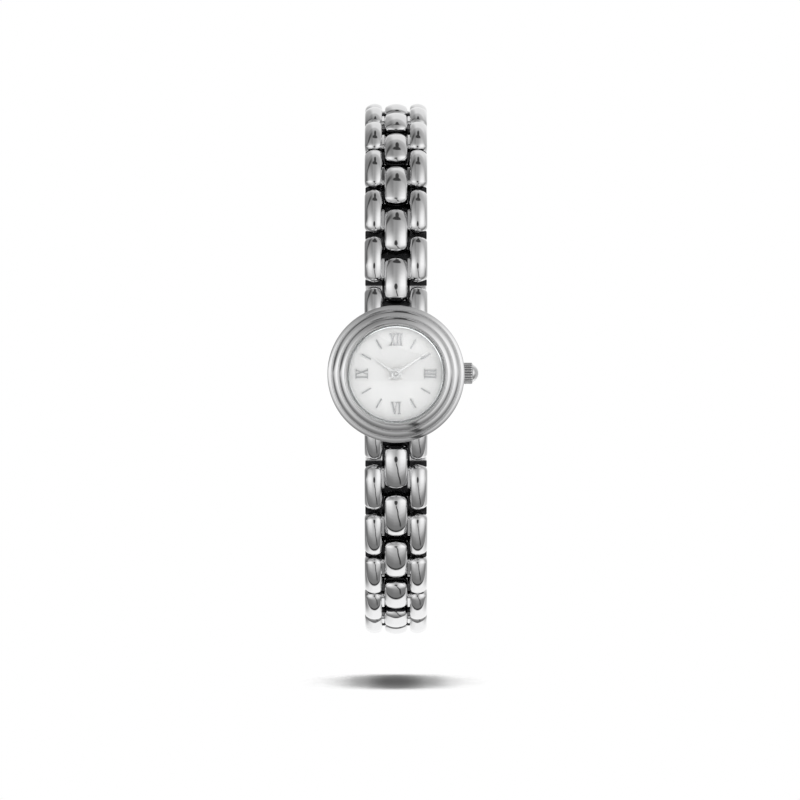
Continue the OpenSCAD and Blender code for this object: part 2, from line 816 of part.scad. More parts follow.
// The foot of a bar: as wide as its barrels where they cross the line of the pins
module bar_foot(x0, x1, s0, s1, peak, crown_r) {
    intersection() {
        translate([0, 0, -link_foot]) linear_extrude(link_foot) intersection() {
            translate([x0, s0]) square([x1 - x0, s1 - s0]);
            union() {
                for (s = [s0 + crown_r, s1 - crown_r]) translate([peak, s]) circle(crown_r, $fn = 120);
                translate([x0, s0 + link_r]) square([x1 - x0, s1 - s0 - link_t]);
            }
        }
        across(x0 - 1, x1 + 1) bar_side(s0, s1);
    }
}

// A pillow-shaped bar: a wide barrel runs into the small barrels of its rolled ends
module crowned_bar(x0, x1, s0, s1, peak, crown_r) {
    over = 0.08;
    reach = 2 * link_t;
    half = (s1 - s0) / 2 - link_r;
    middle = (s0 + s1) / 2;
    depth = (half * half - bar_rise * bar_rise) / (2 * bar_rise);
    slant = reach * [half, depth] / norm([half, depth]);
    intersection() {
        union() {
            intersection() {
                translate([0, middle, -depth])
                    barrel(depth + bar_rise + link_r, x0, x1, peak, crown_r);
                across(x0 - 1, x1 + 1) translate([middle, 0]) polygon([
                    [-half, 0], [-half - slant[0], slant[1]], [half + slant[0], slant[1]], [half, 0]
                ]);
            }
            for (end = [-1, 1]) intersection() {
                translate([0, middle + end * half, 0]) barrel(link_r, x0, x1, peak, crown_r);
                across(x0 - 1, x1 + 1) translate([middle + end * half, 0]) polygon([
                    [0, 0], [end * slant[0], slant[1]], [end * reach, reach], [end * reach, 0]
                ]);
            }
            bar_foot(x0, x1, s0, s1, peak, crown_r);
        }
        translate([0, 0, -link_t]) linear_extrude(2 * link_t) bar_plan(x0, x1, s0 - over, s1 + over);
    }
}

module bar(x0, x1, s0, s1) {
    crowned_bar(x0, x1, s0, s1, side_peak, arc_r(half_w - side_peak, side_sag));
}

// A bright strip beside the centre bar, rounded at its ends
module strip(x0, x1) {
    across(x0, x1) {
        for (s = [saddle_start + strip_r, centre_end - strip_r])
            translate([s, strip_top - strip_r]) circle(strip_r);
        translate([saddle_start + strip_r, saddle_floor])
            square([centre_end - saddle_start - 2 * strip_r, strip_top - saddle_floor]);
        translate([saddle_start, saddle_floor])
            square([centre_end - saddle_start, strip_top - strip_r - saddle_floor]);
    }
}

module saddle() {
    wall = centre_w / 2 + seat;
    for (side = [0, 1]) mirror([side, 0, 0]) strip(wall, side_x + fit);
    translate([-side_x - fit, saddle_start, saddle_floor])
        cube([2 * side_x + 2 * fit, saddle_end - saddle_start, saddle_t]);
}

module link_frame() {
    difference() {
        union() {
            for (side = [0, 1]) mirror([side, 0, 0])
                bar(side_x, half_w, side_start, link_pitch + link_r);
            saddle();
        }
        for (s = [rivet_s, link_pitch]) translate([0, s, 0])
            rod_x(pin_r + tight, -2 * half_w, 2 * half_w);
    }
}

module centre_bar() {
    w = centre_w / 2;
    difference() {
        crowned_bar(-w, w, -link_r, centre_end, 0, arc_r(w, centre_sag));
        translate([-centre_w, saddle_start - fit, -2 * link_t])
            cube([2 * centre_w, link_pitch, 2 * link_t + saddle_floor + saddle_t + seat]);
        translate([0, rivet_s, 0]) rod_x(pin_r + tight, -centre_w, centre_w);
        rod_x(pin_r + run, -centre_w, centre_w);
    }
}

module link_pin(s) {
    translate([0, s, 0]) rod_x(pin_r, -pin_l / 2, pin_l / 2);
}

module link(k, with_pin) {
    at_hinge = hinge(k - 1);
    color(k % 2 == 0 ? "silver" : "gainsboro")
        translate([0, at_hinge[0], at_hinge[1]]) rotate([90 - lean(k), 0, 0]) {
            link_frame();
            centre_bar();
            link_pin(rivet_s);
            if (with_pin) link_pin(link_pitch);
        }
}

module upper_link(k) {
    link(k, true);
}

module lower_link(k) {
    mirror([0, 0, 1]) link(k, k < links);
}

// Clasp

module on_clasp() {
    translate([0, hinge(links)[0], 0]) rotate([-90, 0, 0]) children();
}

module knuckle(place, r, x0, x1) {
    translate([0, place[0], place[1]]) rod_x(r, x0, x1);
}

module clasp_inner_blade() {
    inner = knuckle_w / 2 + fit;
    color("silver") on_clasp() difference() {
        union() {
            translate([-blade_w / 2, -clasp_half + link_r + eye_gap, blade_z])
                cube([blade_w, blade_pin[0] + clasp_half - link_r - eye_gap, blade_t]);
            knuckle([-clasp_half, 0], link_r - fit, -eye_w / 2, eye_w / 2);
            translate([-eye_w / 2, -clasp_half, blade_z + tight])
                cube([eye_w, link_r + eye_gap + 0.5, blade_t - tight]);
            for (side = [0, 1]) mirror([side, 0, 0]) knuckle(blade_pin, knuckle_r, inner, blade_w / 2);
            translate([0, stud_y, blade_z + tight])
                cylinder(r = stud_r, h = cover_z - cover_t - blade_z - fit);
        }
        knuckle([-clasp_half, 0], pin_r + run, -half_w, half_w);
        knuckle(blade_pin, clasp_pin_r + tight, -half_w, half_w);
        translate([-knuckle_w / 2 - fit, blade_pin[0] - knuckle_r - 2 * fit, -link_t])
            cube([knuckle_w + 2 * fit, 2 * link_t, 2 * link_t]);
    }
}

module clasp_middle_blade() {
    w = blade_w - 0.4;
    start = cover_pin[0] + knuckle_r + blade_gap;
    color("gainsboro") on_clasp() difference() {
        union() {
            translate([-w / 2, start, middle_z])
                cube([w, blade_pin[0] - knuckle_r - blade_gap - start, blade_t]);
            translate([-knuckle_w / 2, cover_pin[0], middle_z])
                cube([knuckle_w, blade_pin[0] - cover_pin[0], blade_t]);
            knuckle(cover_pin, knuckle_r, -knuckle_w / 2, knuckle_w / 2);
            knuckle(blade_pin, knuckle_r, -knuckle_w / 2, knuckle_w / 2);
        }
        knuckle(cover_pin, clasp_pin_r + run, -half_w, half_w);
        knuckle(blade_pin, clasp_pin_r + run, -half_w, half_w);
        translate([0, stud_y, -link_t]) cylinder(r = stud_r + blade_gap, h = 2 * link_t);
    }
}

// Section of the cover: a shallow arc outside, open to the wrist between its two walls
module cover_section() {
    arc = arc_r(half_w, cover_sag);
    difference() {
        intersection() {
            translate([0, cover_z - arc]) circle(arc, $fn = 360);
            translate([-half_w, cover_foot]) square([2 * half_w, 2 * link_t]);
        }
        translate([-wall_x, cover_foot - 1]) square([2 * wall_x, cover_z - cover_t - cover_foot + 1]);
    }
}

module clasp_cover() {
    ear = knuckle_w / 2 + fit;
    color("silver") on_clasp() difference() {
        union() {
            translate([0, cover_end, 0]) rotate([90, 0, 0]) linear_extrude(cover_end - cover_pin[0])
                cover_section();
            for (side = [0, 1]) mirror([side, 0, 0]) knuckle(cover_pin, knuckle_r, ear, wall_x + fit);
            knuckle([clasp_half, 0], link_r - fit, -eye_w / 2, eye_w / 2);
            translate([-eye_w / 2, cover_end - 0.8, 0])
                cube([eye_w, clasp_half - cover_end + 0.8, cover_z - 0.1]);
        }
        knuckle(cover_pin, clasp_pin_r + tight, -half_w - 1, half_w + 1);
        knuckle([clasp_half, 0], pin_r + tight, -half_w, half_w);
        translate([-ear, cover_pin[0] - 1, -link_t])
            cube([2 * ear, 1 + knuckle_r + 0.15, link_t + cover_pin[1] + knuckle_r + 0.07]);
    }
}

module clasp_blade_pin() {
    color("gray") on_clasp() knuckle(blade_pin, clasp_pin_r, -blade_w / 2, blade_w / 2);
}

module clasp_cover_pin() {
    color("gray") on_clasp() knuckle(cover_pin, clasp_pin_r, 0.3 - half_w, half_w - 0.3);
}

module clasp_spring_bar() {
    color("gray") on_clasp() knuckle([clasp_half, 0], pin_r, -eye_w / 2, eye_w / 2);
}

case_body();
bezel();
crystal();
crystal_gasket();
case_back();
case_back_gasket();
case_tube();
dial();
hour_markers();
hour_hand();
minute_hand();
hour_wheel();
centre_wheel();
minute_wheel();
intermediate_wheel();
rotor();
stator();
coil();
main_plate();
train_bridge();
bridge_screws();
movement_ring();
battery();
battery_clamp();
circuit_board();
crown();
crown_gasket();
stem();
sliding_pinion();
lug_pins();
clasp_inner_blade();
clasp_middle_blade();
clasp_cover();
clasp_blade_pin();
clasp_cover_pin();
clasp_spring_bar();
for (k = [1:links]) upper_link(k);
for (k = [1:links]) lower_link(k);
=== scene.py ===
"""Looks of the small round steel watch: fine meshes, materials, soft studio and camera."""

import json
from math import atan2, cos, degrees, pi, radians, sin, sqrt

import bpy
import numpy as np
from mathutils import Matrix, Vector


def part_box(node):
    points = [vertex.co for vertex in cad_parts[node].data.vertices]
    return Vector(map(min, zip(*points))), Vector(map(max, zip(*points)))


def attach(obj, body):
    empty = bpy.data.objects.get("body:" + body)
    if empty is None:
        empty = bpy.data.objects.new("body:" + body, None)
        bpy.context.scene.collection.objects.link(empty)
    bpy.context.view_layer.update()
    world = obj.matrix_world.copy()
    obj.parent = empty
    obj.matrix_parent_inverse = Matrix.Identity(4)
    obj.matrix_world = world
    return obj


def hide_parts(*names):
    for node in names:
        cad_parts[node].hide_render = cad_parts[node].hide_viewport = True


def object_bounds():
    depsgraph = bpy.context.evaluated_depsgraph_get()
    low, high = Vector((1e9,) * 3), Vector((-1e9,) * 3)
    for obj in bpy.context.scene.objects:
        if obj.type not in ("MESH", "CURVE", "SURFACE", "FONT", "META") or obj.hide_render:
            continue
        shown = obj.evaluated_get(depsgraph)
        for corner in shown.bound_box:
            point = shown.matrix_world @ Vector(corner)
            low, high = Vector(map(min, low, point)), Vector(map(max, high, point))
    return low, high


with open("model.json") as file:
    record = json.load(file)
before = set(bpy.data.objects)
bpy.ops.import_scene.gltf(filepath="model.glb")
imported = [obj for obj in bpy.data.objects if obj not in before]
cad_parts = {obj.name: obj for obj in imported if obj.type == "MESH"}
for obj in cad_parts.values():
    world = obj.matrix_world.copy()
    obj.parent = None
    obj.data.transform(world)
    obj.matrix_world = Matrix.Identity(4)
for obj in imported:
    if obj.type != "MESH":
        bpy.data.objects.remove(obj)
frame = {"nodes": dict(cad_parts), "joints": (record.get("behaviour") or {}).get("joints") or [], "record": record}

lowest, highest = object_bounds()
MM = 0.001
FULL_TURN = 2 * pi
JOINTS = {joint["name"]: joint for joint in frame["joints"]}
SLOTS = {part["node"]: part["material_slot"] for part in frame["record"]["subparts"]}
BODY_OF = {
    node: body for body, nodes in frame["record"]["behaviour"]["bodies"].items() for node in nodes
}
LINKS = len([name for name in JOINTS if name.startswith("upper_hinge_")])


def span(node, axis):
    """Lowest and highest reach of a CAD node along an axis, in millimetres."""
    low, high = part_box(node)
    return low[axis] / MM, high[axis] / MM


# Gaps and laps between pieces, in millimetres
HAIR = 0.02
LAP = 0.05

# A link: x runs across it, s along it from its near hinge, z outwards
HALF_W = span("upper_link_01", 0)[1]
PITCH = (
    Vector(JOINTS["upper_hinge_02"]["pos_m"]) - Vector(JOINTS["upper_hinge_01"]["pos_m"])
).length / MM
LINK_R = 1.1
LINK_GAP = 0.6
SIDE_W = 2.3
SIDE_PEAK_SHARE = 0.44
STRIP_W = 0.35
BAR_L = PITCH - LINK_GAP
SIDE_START = PITCH + LINK_R - BAR_L
CENTRE_END = BAR_L - LINK_R
SIDE_X = HALF_W - SIDE_W
CENTRE_X = SIDE_X - STRIP_W
SIDE_PEAK = SIDE_X + SIDE_PEAK_SHARE * SIDE_W

# The bars' crowned faces and rolled ends
CENTRE_SAG = 0.47
SIDE_SAG = 0.65
BAR_RISE = 0.5
FOOT = 0.95
BAR_CORNER = 0.6
EDGE = 0.24
FOOT_EDGE = 0.6 * EDGE
EDGE_STEPS, FACE_STEPS = 8, 21
TOP_STEPS, END_STEPS, FOOT_STEPS = 29, 15, 10

# The saddle below the bars, with its strips, ears, ledges and pins; all but the strips are dark steel, painted
# shade down in the gaps
SADDLE_START = SIDE_START + 0.3
SADDLE_END = PITCH - 0.95
SADDLE_BOTTOM = LAP - FOOT
SADDLE_TOP = SADDLE_BOTTOM + 0.3
SADDLE_LIP = 0.5
SADDLE_LIP_T = 0.05
STRIP_TOP = LINK_R - CENTRE_SAG - LAP
STRIP_END_R = 0.55
STRIP_EDGE = 0.08
EAR_R = 0.98
EAR_TOP = 0.35
EAR_END = 0.9
EAR_LAP = 0.1
PLATE_CHAMFER = 0.06
LEDGE_START, FIRST_LEDGE_START = 1.16, 1.42
LEDGE_END = SIDE_START + 0.5
LEDGE_TOP = -0.5
LEDGE_INSET = 0.1
APRON_START, APRON_END = -1.6, -0.3
PIN_R = 0.3
PIN_INSET = 0.01
PIN_ROUND = ((0, 0.06), (0.03, 0.02), (0.08, 0))
STRIP_EDGE_STEPS, STRIP_FACE_STEPS, STRIP_END_STEPS = 5, 4, 9
EAR_STEPS, PIN_STEPS = 16, 24

LUG_HINGE = JOINTS["upper_hinge_01"]["pos_m"]
LUG_START = 7.7
LUG_LEAN = 17


# Meshes

SHARP_ANGLE = 38


def add_mesh(name, points, faces):
    """A mesh object from points in millimetres."""
    mesh = bpy.data.meshes.new(name)
    mesh.from_pydata([tuple(MM * c for c in point) for point in points], [], faces)
    mesh.validate()
    mesh.shade_smooth()
    mesh.set_sharp_from_angle(angle=radians(SHARP_ANGLE))
    made = bpy.data.objects.new(name, mesh)
    bpy.context.collection.objects.link(made)
    return made


def loft(rings, first=0, closed=False):
    """Faces over equal rings of points, numbered from first, with caps unless they close."""
    count, around = len(rings), len(rings[0])
    faces = []
    for i in range(count if closed else count - 1):
        here, there = first + i * around, first + (i + 1) % count * around
        for j in range(around):
            k = (j + 1) % around
            faces.append((here + j, here + k, there + k, there + j))
    if not closed:
        faces.append(tuple(first + j for j in reversed(range(around))))
        faces.append(tuple(first + (count - 1) * around + j for j in range(around)))
    return faces


def mirrored(rings):
    return [[(-x, s, z) for x, s, z in ring] for ring in rings]


class Solid:
    """Collects the points and faces of several pieces of one object."""

    def __init__(self):
        self.points = []
        self.faces = []
        self.finishes = []

    def add(self, rings, finish=0, flip=False, closed=False):
        faces = loft(rings, len(self.points), closed)
        self.points += [tuple(point) for ring in rings for point in ring]
        self.faces += [tuple(reversed(face)) for face in faces] if flip else faces
        self.finishes += [finish] * len(faces)

    def add_pair(self, rings, finish):
        """The piece and its twin on the other side."""
        self.add(rings, finish)
        self.add(mirrored(rings), finish, flip=True)

    def make(self, name):
        made = add_mesh(name, self.points, self.faces)
        made.data.polygons.foreach_set("material_index", self.finishes)
        return made


def arc_r(half, rise):
    """Radius of an arc from its half chord and its rise."""
    return (half * half + rise * rise) / (2 * rise)


def quarter(distance, radius):
    """How far a rounded edge lies back at a distance from the wall."""
    if distance >= radius:
        return 0.0
    return radius - sqrt(radius**2 - (radius - distance) ** 2)


def eased(low, high, edge, fine, coarse):
    """Places from low to high, close together within the rounded edges."""
    turns = np.linspace(0, pi / 2, fine)
    near = [low + edge * (1 - cos(turn)) for turn in turns]
    far = [high - edge * (1 - cos(turn)) for turn in reversed(turns)]
    return near + list(np.linspace(low + edge, high - edge, coarse)[1:-1]) + far


def across(outline, x):
    """A ring at x with the outline's places along the link and outwards."""
    return [(x, s, z) for s, z in outline]


# Bracelet


def bar_outline(s0, s1, drop, pull, foot_lift, notch):
    """A bar seen from its side, its outer face lowered by drop and its ends drawn in by pull."""
    half = (s1 - s0) / 2 - LINK_R
    middle = (s0 + s1) / 2
    depth = (half**2 - BAR_RISE**2) / (2 * BAR_RISE)
    turn = atan2(half, depth)
    big = depth + BAR_RISE + LINK_R - drop
    end_r = LINK_R - drop
    foot = FOOT - foot_lift
    top = [(big * sin(a), big * cos(a) - depth) for a in np.linspace(-turn, turn, TOP_STEPS)]
    far = [(half + end_r * sin(a), end_r * cos(a)) for a in np.linspace(turn, pi / 2, END_STEPS)[1:]]
    under = [(half + end_r * cos(a), -foot * sin(a)) for a in np.linspace(0, pi / 2, FOOT_STEPS)[1:]]
    near = [(-s, z) for s, z in reversed(far + under)]
    squeeze = (half + end_r - pull) / (half + end_r)
    points = [(middle + squeeze * s, z) for s, z in top + far + under]
    closing = [(middle + squeeze * s, z) for s, z in near]
    if notch is None:
        return points + closing
    start, ceiling = notch
    raised = [(s, max(z, ceiling) if s > start else z) for s, z in points]
    return raised + [(start, ceiling), (start, -foot)] + closing


def bar_rings(x0, x1, s0, s1, peak, crown_r, notch=None):
    """A pillow bar, highest at peak, with rounded edges and corners."""
    rings = []
    for x in eased(x0, x1, EDGE, EDGE_STEPS, FACE_STEPS):
        wall = min(x - x0, x1 - x)
        sag = crown_r - sqrt(crown_r**2 - (x - peak) ** 2)
        drop = sag + quarter(wall, EDGE)
        pull = max(0.0, quarter(wall, BAR_CORNER) - drop)
        rings.append(across(bar_outline(s0, s1, drop, pull, quarter(wall, FOOT_EDGE), notch), x))
    return rings


def centre_bar_rings():
    """The centre bar, notched below for its saddle."""
    crown = arc_r(CENTRE_X, CENTRE_SAG)
    notch = (SADDLE_START - LAP, SADDLE_TOP + HAIR)
    return bar_rings(-CENTRE_X, CENTRE_X, -LINK_R, CENTRE_END, 0, crown, notch)


def side_bar_rings(s0, s1):
    crown = arc_r(HALF_W - SIDE_PEAK, SIDE_SAG)
    return bar_rings(SIDE_X, HALF_W, s0, s1, SIDE_PEAK, crown)


def strip_rings(x0, x1):
    """A bright strip beside the centre bar, round on top and at its ends."""
    rings = []
    near = SADDLE_START + STRIP_END_R
    far = CENTRE_END - STRIP_END_R
    top = STRIP_TOP - STRIP_END_R
    turns = np.linspace(-pi / 2, 0, STRIP_END_STEPS)
    for x in eased(x0, x1, STRIP_EDGE, STRIP_EDGE_STEPS, STRIP_FACE_STEPS):
        r = STRIP_END_R - quarter(min(x - x0, x1 - x), STRIP_EDGE)
        left = [(near + r * sin(a), top + r * cos(a)) for a in turns]
        right = [(far + r * sin(-a), top + r * cos(a)) for a in reversed(turns)]
        feet = [(far + r, SADDLE_BOTTOM), (near - r, SADDLE_BOTTOM)]
        rings.append(across(left + right + feet, x))
    return rings


def plate_rings(half, s0, s1, z0, z1):
    """A flat plate across the link with small chamfers along its edges."""
    cut = PLATE_CHAMFER
    rings = []
    for x, inset in ((-half, cut), (cut - half, 0), (half - cut, 0), (half, cut)):
        corners = [(s0 + inset, z0 + inset), (s0 + inset, z1 - inset),
                   (s1 - inset, z1 - inset), (s1 - inset, z0 + inset)]
        rings.append(across(corners, x))
    return rings


def saddle_rings(half):
    """The thin plate below the bars, its far end drawn out to a lip that closes the gap."""
    lip = SADDLE_END + SADDLE_LIP
    outline = [(SADDLE_START, SADDLE_BOTTOM), (SADDLE_START, SADDLE_TOP), (SADDLE_END, SADDLE_TOP),
               (lip, SADDLE_BOTTOM + SADDLE_LIP_T), (lip, SADDLE_BOTTOM)]
    return [across(outline, x) for x in (-half, half)]


def ear_rings(x0, x1):
    """The ear beside the centre bar that carries the near pin, dark steel as painted shade."""
    turns = np.linspace(np.arcsin(EAR_TOP / EAR_R), -pi / 2, EAR_STEPS)
    seat = SADDLE_START + EAR_LAP
    outline = [(-EAR_R * cos(a), EAR_R * sin(a)) for a in turns]
    outline += [(seat, SADDLE_BOTTOM), (seat, SADDLE_TOP), (EAR_END, EAR_TOP)]
    return [across(outline, x) for x in (x0, x1)]


def pin_rings(s, half):
    """A pin across the link with rounded ends."""
    turns = np.linspace(0, FULL_TURN, PIN_STEPS, endpoint=False)
    places = [(along - half, inset) for along, inset in PIN_ROUND]
    places += [(half - along, inset) for along, inset in reversed(PIN_ROUND)]
    rings = []
    for x, inset in places:
        r = PIN_R - inset
        rings.append([(x, s + r * cos(a), r * sin(a)) for a in turns])
    return rings


# Finishes of a link: the bright bars, and dark steel that is painted shade down in the gaps
BRIGHT, PAINTED_SHADE_FINISH = 0, 1


def link_solid(with_pin, first):
    """One link, its saddle, ears, ledge and pins dark steel as painted shade in the gaps; the first of a half has
    an apron, dark the same way, that closes the gap towards the case.
    """
    link = Solid()
    link.add(centre_bar_rings(), BRIGHT)
    link.add_pair(side_bar_rings(SIDE_START, PITCH + LINK_R), BRIGHT)
    link.add_pair(strip_rings(CENTRE_X + HAIR, SIDE_X + LAP), BRIGHT)
    link.add(saddle_rings(SIDE_X + LAP), PAINTED_SHADE_FINISH)
    link.add_pair(ear_rings(CENTRE_X + HAIR, SIDE_X - HAIR), PAINTED_SHADE_FINISH)
    ledge = FIRST_LEDGE_START if first else LEDGE_START
    link.add(plate_rings(HALF_W - LEDGE_INSET, ledge, LEDGE_END, SADDLE_BOTTOM, LEDGE_TOP), PAINTED_SHADE_FINISH)
    if first:
        link.add(plate_rings(SIDE_X - HAIR, APRON_START, APRON_END, SADDLE_BOTTOM, SADDLE_TOP), PAINTED_SHADE_FINISH)
    pins = [(SIDE_START + CENTRE_END) / 2]
    if with_pin:
        pins.append(PITCH)
    for s in pins:
        link.add(pin_rings(s, HALF_W - PIN_INSET), PAINTED_SHADE_FINISH)
    return link


def link_places():
    """Node, matrix and whether the far pin belongs to it, for each link."""
    found = []
    clasp = Vector(JOINTS["inner_blade_hinge"]["pos_m"])
    for half, sign in (("upper", 1), ("lower", -1)):
        hinges = [Vector(JOINTS[f"{half}_hinge_{k:02d}"]["pos_m"]) for k in range(1, LINKS + 1)]
        hinges.append(Vector((0, clasp.y, sign * clasp.z)))
        for k in range(LINKS):
            sideways = Vector((sign, 0, 0))
            along = (hinges[k + 1] - hinges[k]).normalized()
            turn = Matrix((sideways, along, sideways.cross(along))).transposed().to_4x4()
            with_pin = half == "upper" or k < LINKS - 1
            found.append((f"{half}_link_{k + 1:02d}", Matrix.Translation(hinges[k]) @ turn, with_pin))
    return found


def adopt(piece, node, *others):
    """The piece stands for a CAD node and moves with its body."""
    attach(piece, BODY_OF[node])
    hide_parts(node, *others)


def build_links(materials):
    """The links share one mesh for each kind."""
    shared = {}
    for node, place, with_pin in link_places():
        kind = (with_pin, node.endswith("_01"))
        if kind not in shared:
            made = link_solid(*kind).make("link_mesh")
            for finish in ("link_steel", "recess"):
                made.data.materials.append(materials[finish])
            shared[kind] = made.data
            bpy.data.objects.remove(made)
        link = bpy.data.objects.new(node + "_bars", shared[kind])
        bpy.context.collection.objects.link(link)
        link.matrix_world = place
        adopt(link, node)


# Head: radii and heights over the case back's outer face, in millimetres

CASE_R = span("case_body", 0)[1]
CASE_FRONT = -span("case_body", 1)[0]
CASE_BACK = -span("case_body", 1)[1]
BACK_FRONT = -span("case_back", 1)[0]
BACK_R = span("case_back", 0)[1]
BEZEL_R = span("bezel", 0)[1]
BEZEL_BACK, BEZEL_TOP = -span("bezel", 1)[1], -span("bezel", 1)[0]
CRYSTAL_R = span("crystal", 0)[1]
SEAT_Z, CRYSTAL_TOP = -span("crystal", 1)[1], -span("crystal", 1)[0]
CRYSTAL_BEVEL_W, CRYSTAL_BEVEL_H = 0.6, 0.25
BORE_R = span("dial", 0)[1] + 0.05
NECK_R = BORE_R + 0.5
LATHE_STEPS = 256
AXIS_R = 0.01

# The bezel's three steps: angles of the riser, the shoulder and the fall of each
GASKET_T = 0.13
OPENING_R = CRYSTAL_R + GASKET_T + HAIR
LEDGE_R = CRYSTAL_R - 0.2
LEDGE_DROP = 0.03
SKIRT_DEPTH = 0.52
BEZEL_EDGE = 0.12
RINGS = 3
RING_SPANS = 2.7
RING_SPAN = (BEZEL_R - OPENING_R) / RING_SPANS
RING_STEPS, RIM_STEPS, EDGE_TURN_STEPS = 16, 10, 6
RISER, SHOULDER, FALL = radians(50), radians(16), radians(54)
SHOULDER_R = 0.17
SLOPE_R = (RING_SPAN - SHOULDER_R * (sin(RISER) + sin(SHOULDER))) / (sin(FALL) - sin(SHOULDER))
RING_STEP = SLOPE_R * (cos(SHOULDER) - cos(FALL)) - SHOULDER_R * (cos(SHOULDER) - cos(RISER))

# The case and its back
CASE_CHAMFER = 0.5
CASE_EDGE = 0.06
BACK_ROOM_W, BACK_ROOM_H = 0.04, 0.02
GROOVE_W = 0.3
GROOVE_START, GROOVE_END = CASE_BACK + 0.25, CASE_BACK + 0.7
BACK_EDGE = 0.14
BACK_DISH = 0.02
BACK_DISH_R, BACK_RIM_R = 0.6 * BACK_R, 0.62 * BACK_R
SPIGOT_R = BORE_R - HAIR
SPIGOT_T = 0.25

# The crown, whose own x runs outwards from the case
CROWN_LOW, CROWN_HIGH = span("crown", 0)
CROWN_R = span("crown", 2)[1]
CROWN_DEPTH = -JOINTS["crown_turn"]["pos_m"][1] / MM
CROWN_L = 1.56
CROWN_NEAR_EDGE, CROWN_FAR_EDGE = 0.12, 0.18
CROWN_BORE_R = 0.5
CROWN_EDGE_STEPS, CROWN_FACE_STEPS = 6, 8
FLUTES = 24
FLUTE_STEPS = 12
FLUTE_DEPTH = 0.062
FLUTE_POWER = 1.5
DOME_INSET = 0.26
DOME_FLANGE = 0.03
DOME_TIP, DOME_STEPS = 0.004, 22

# The hands' cap and the rim of their hub
CAP_R = 0.36
CAP_H = 0.12
CAP_SINK = 0.02
CAP_PROFILE = ((0, 0.08), (0.05, 0.02), (0.1, 0.02), (0.14, 0.06), (0.18, 0))
HUB_R = 0.7
HUB_T = 0.05
HUB_SINK, HUB_RISE = 0.01, 0.02


def lathe(profile):
    """Rings of a turned piece: profile is (radius, height over the case back), closed."""
    turns = np.linspace(0, FULL_TURN, LATHE_STEPS, endpoint=False)
    return [[(r * sin(a), -h, r * cos(a)) for a in turns] for r, h in profile]


def arc(centre, r, start, end, steps):
    """Points of an arc, angles in degrees."""
    return [
        (centre[0] + r * cos(radians(a)), centre[1] + r * sin(radians(a)))
        for a in np.linspace(start, end, steps)
    ]


def turned(name, profile, material):
    solid = Solid()
    solid.add(lathe(profile), closed=True)
    made = solid.make(name)
    made.data.materials.append(material)
    return made


def bezel_profile():
    """Three steps, each a short riser, a rounded shoulder and a long fall, over a plain skirt."""
    points = []
    for i in range(RINGS):
        near = (OPENING_R + i * RING_SPAN + SHOULDER_R * sin(RISER), BEZEL_TOP - SHOULDER_R - i * RING_STEP)
        points += arc(near, SHOULDER_R, 90 + degrees(RISER), 90 - degrees(SHOULDER), RING_STEPS)
        deeper = SLOPE_R - SHOULDER_R
        centre = (near[0] - deeper * sin(SHOULDER), near[1] - deeper * cos(SHOULDER))
        last = FALL
        if i == RINGS - 1:
            last = float(np.arcsin((BEZEL_R - BEZEL_EDGE - centre[0]) / (SLOPE_R - BEZEL_EDGE)))
        points += arc(centre, SLOPE_R, 90 - degrees(SHOULDER), 90 - degrees(last), RING_STEPS)[1:]
    inner = SLOPE_R - BEZEL_EDGE
    rim = (centre[0] + inner * sin(last), centre[1] + inner * cos(last))
    points += arc(rim, BEZEL_EDGE, 90 - degrees(last), 0, RIM_STEPS)[1:]
    foot = (BEZEL_R - BEZEL_EDGE, BEZEL_BACK + BEZEL_EDGE)
    points += arc(foot, BEZEL_EDGE, 0, -90, EDGE_TURN_STEPS)
    skirt_r, skirt_end = NECK_R + HAIR, BEZEL_BACK + SKIRT_DEPTH
    ledge = SEAT_Z - LEDGE_DROP
    points += [(skirt_r, BEZEL_BACK), (skirt_r, skirt_end), (LEDGE_R, skirt_end)]
    return points + [(LEDGE_R, ledge), (OPENING_R, ledge)]


def build_bezel(materials):
    bezel = turned("bezel_rings", bezel_profile(), materials["bezel_steel"])
    adopt(bezel, "bezel")


def build_crystal(materials):
    """A flat disc with a wide bevel round its front."""
    profile = [
        (AXIS_R, SEAT_Z),
        (CRYSTAL_R, SEAT_Z),
        (CRYSTAL_R, CRYSTAL_TOP - CRYSTAL_BEVEL_H),
        (CRYSTAL_R - CRYSTAL_BEVEL_W, CRYSTAL_TOP),
        (AXIS_R, CRYSTAL_TOP),
    ]
    crystal = turned("crystal_glass", profile, materials["crystal_glass"])
    adopt(crystal, "crystal")


def lug_rings(rings, side, up):
    """The bar's rings set leaning on the case, at one of its four corners."""
    y, z = LUG_HINGE[1] / MM, LUG_HINGE[2] / MM
    lean = radians(LUG_LEAN)
    placed = []
    for ring in rings:
        placed.append([
            (side * x, y + s * sin(lean) - out * cos(lean),
             up * max(LUG_START, z + s * cos(lean) + out * sin(lean)))
            for x, s, out in ring
        ])
    return placed


def build_case(materials):
    """The turned middle of the case with its four lugs."""
    case = Solid()
    groove_r = BORE_R + GROOVE_W
    shoulder = CASE_BACK + CASE_CHAMFER
    profile = [
        (BORE_R, GROOVE_START), (groove_r, GROOVE_START), (groove_r, GROOVE_END), (BACK_R, CASE_BACK),
        (BACK_R + BACK_ROOM_W, CASE_BACK + BACK_ROOM_H), (CASE_R - BACK_ROOM_W, shoulder - CASE_EDGE),
        (CASE_R, shoulder + CASE_EDGE), (CASE_R, BEZEL_BACK - CASE_EDGE), (CASE_R - CASE_EDGE, BEZEL_BACK),
        (NECK_R, BEZEL_BACK), (NECK_R, CASE_FRONT), (BORE_R, CASE_FRONT),
    ]
    case.add(lathe(profile), closed=True)
    lug = side_bar_rings(LINK_R - BAR_L, LINK_R)
    for side in (1, -1):
        for up in (1, -1):
            case.add(lug_rings(lug, side, up), flip=side * up < 0)
    made = case.make("case_and_lugs")
    made.data.materials.append(materials["case_steel"])
    adopt(made, "case_body")


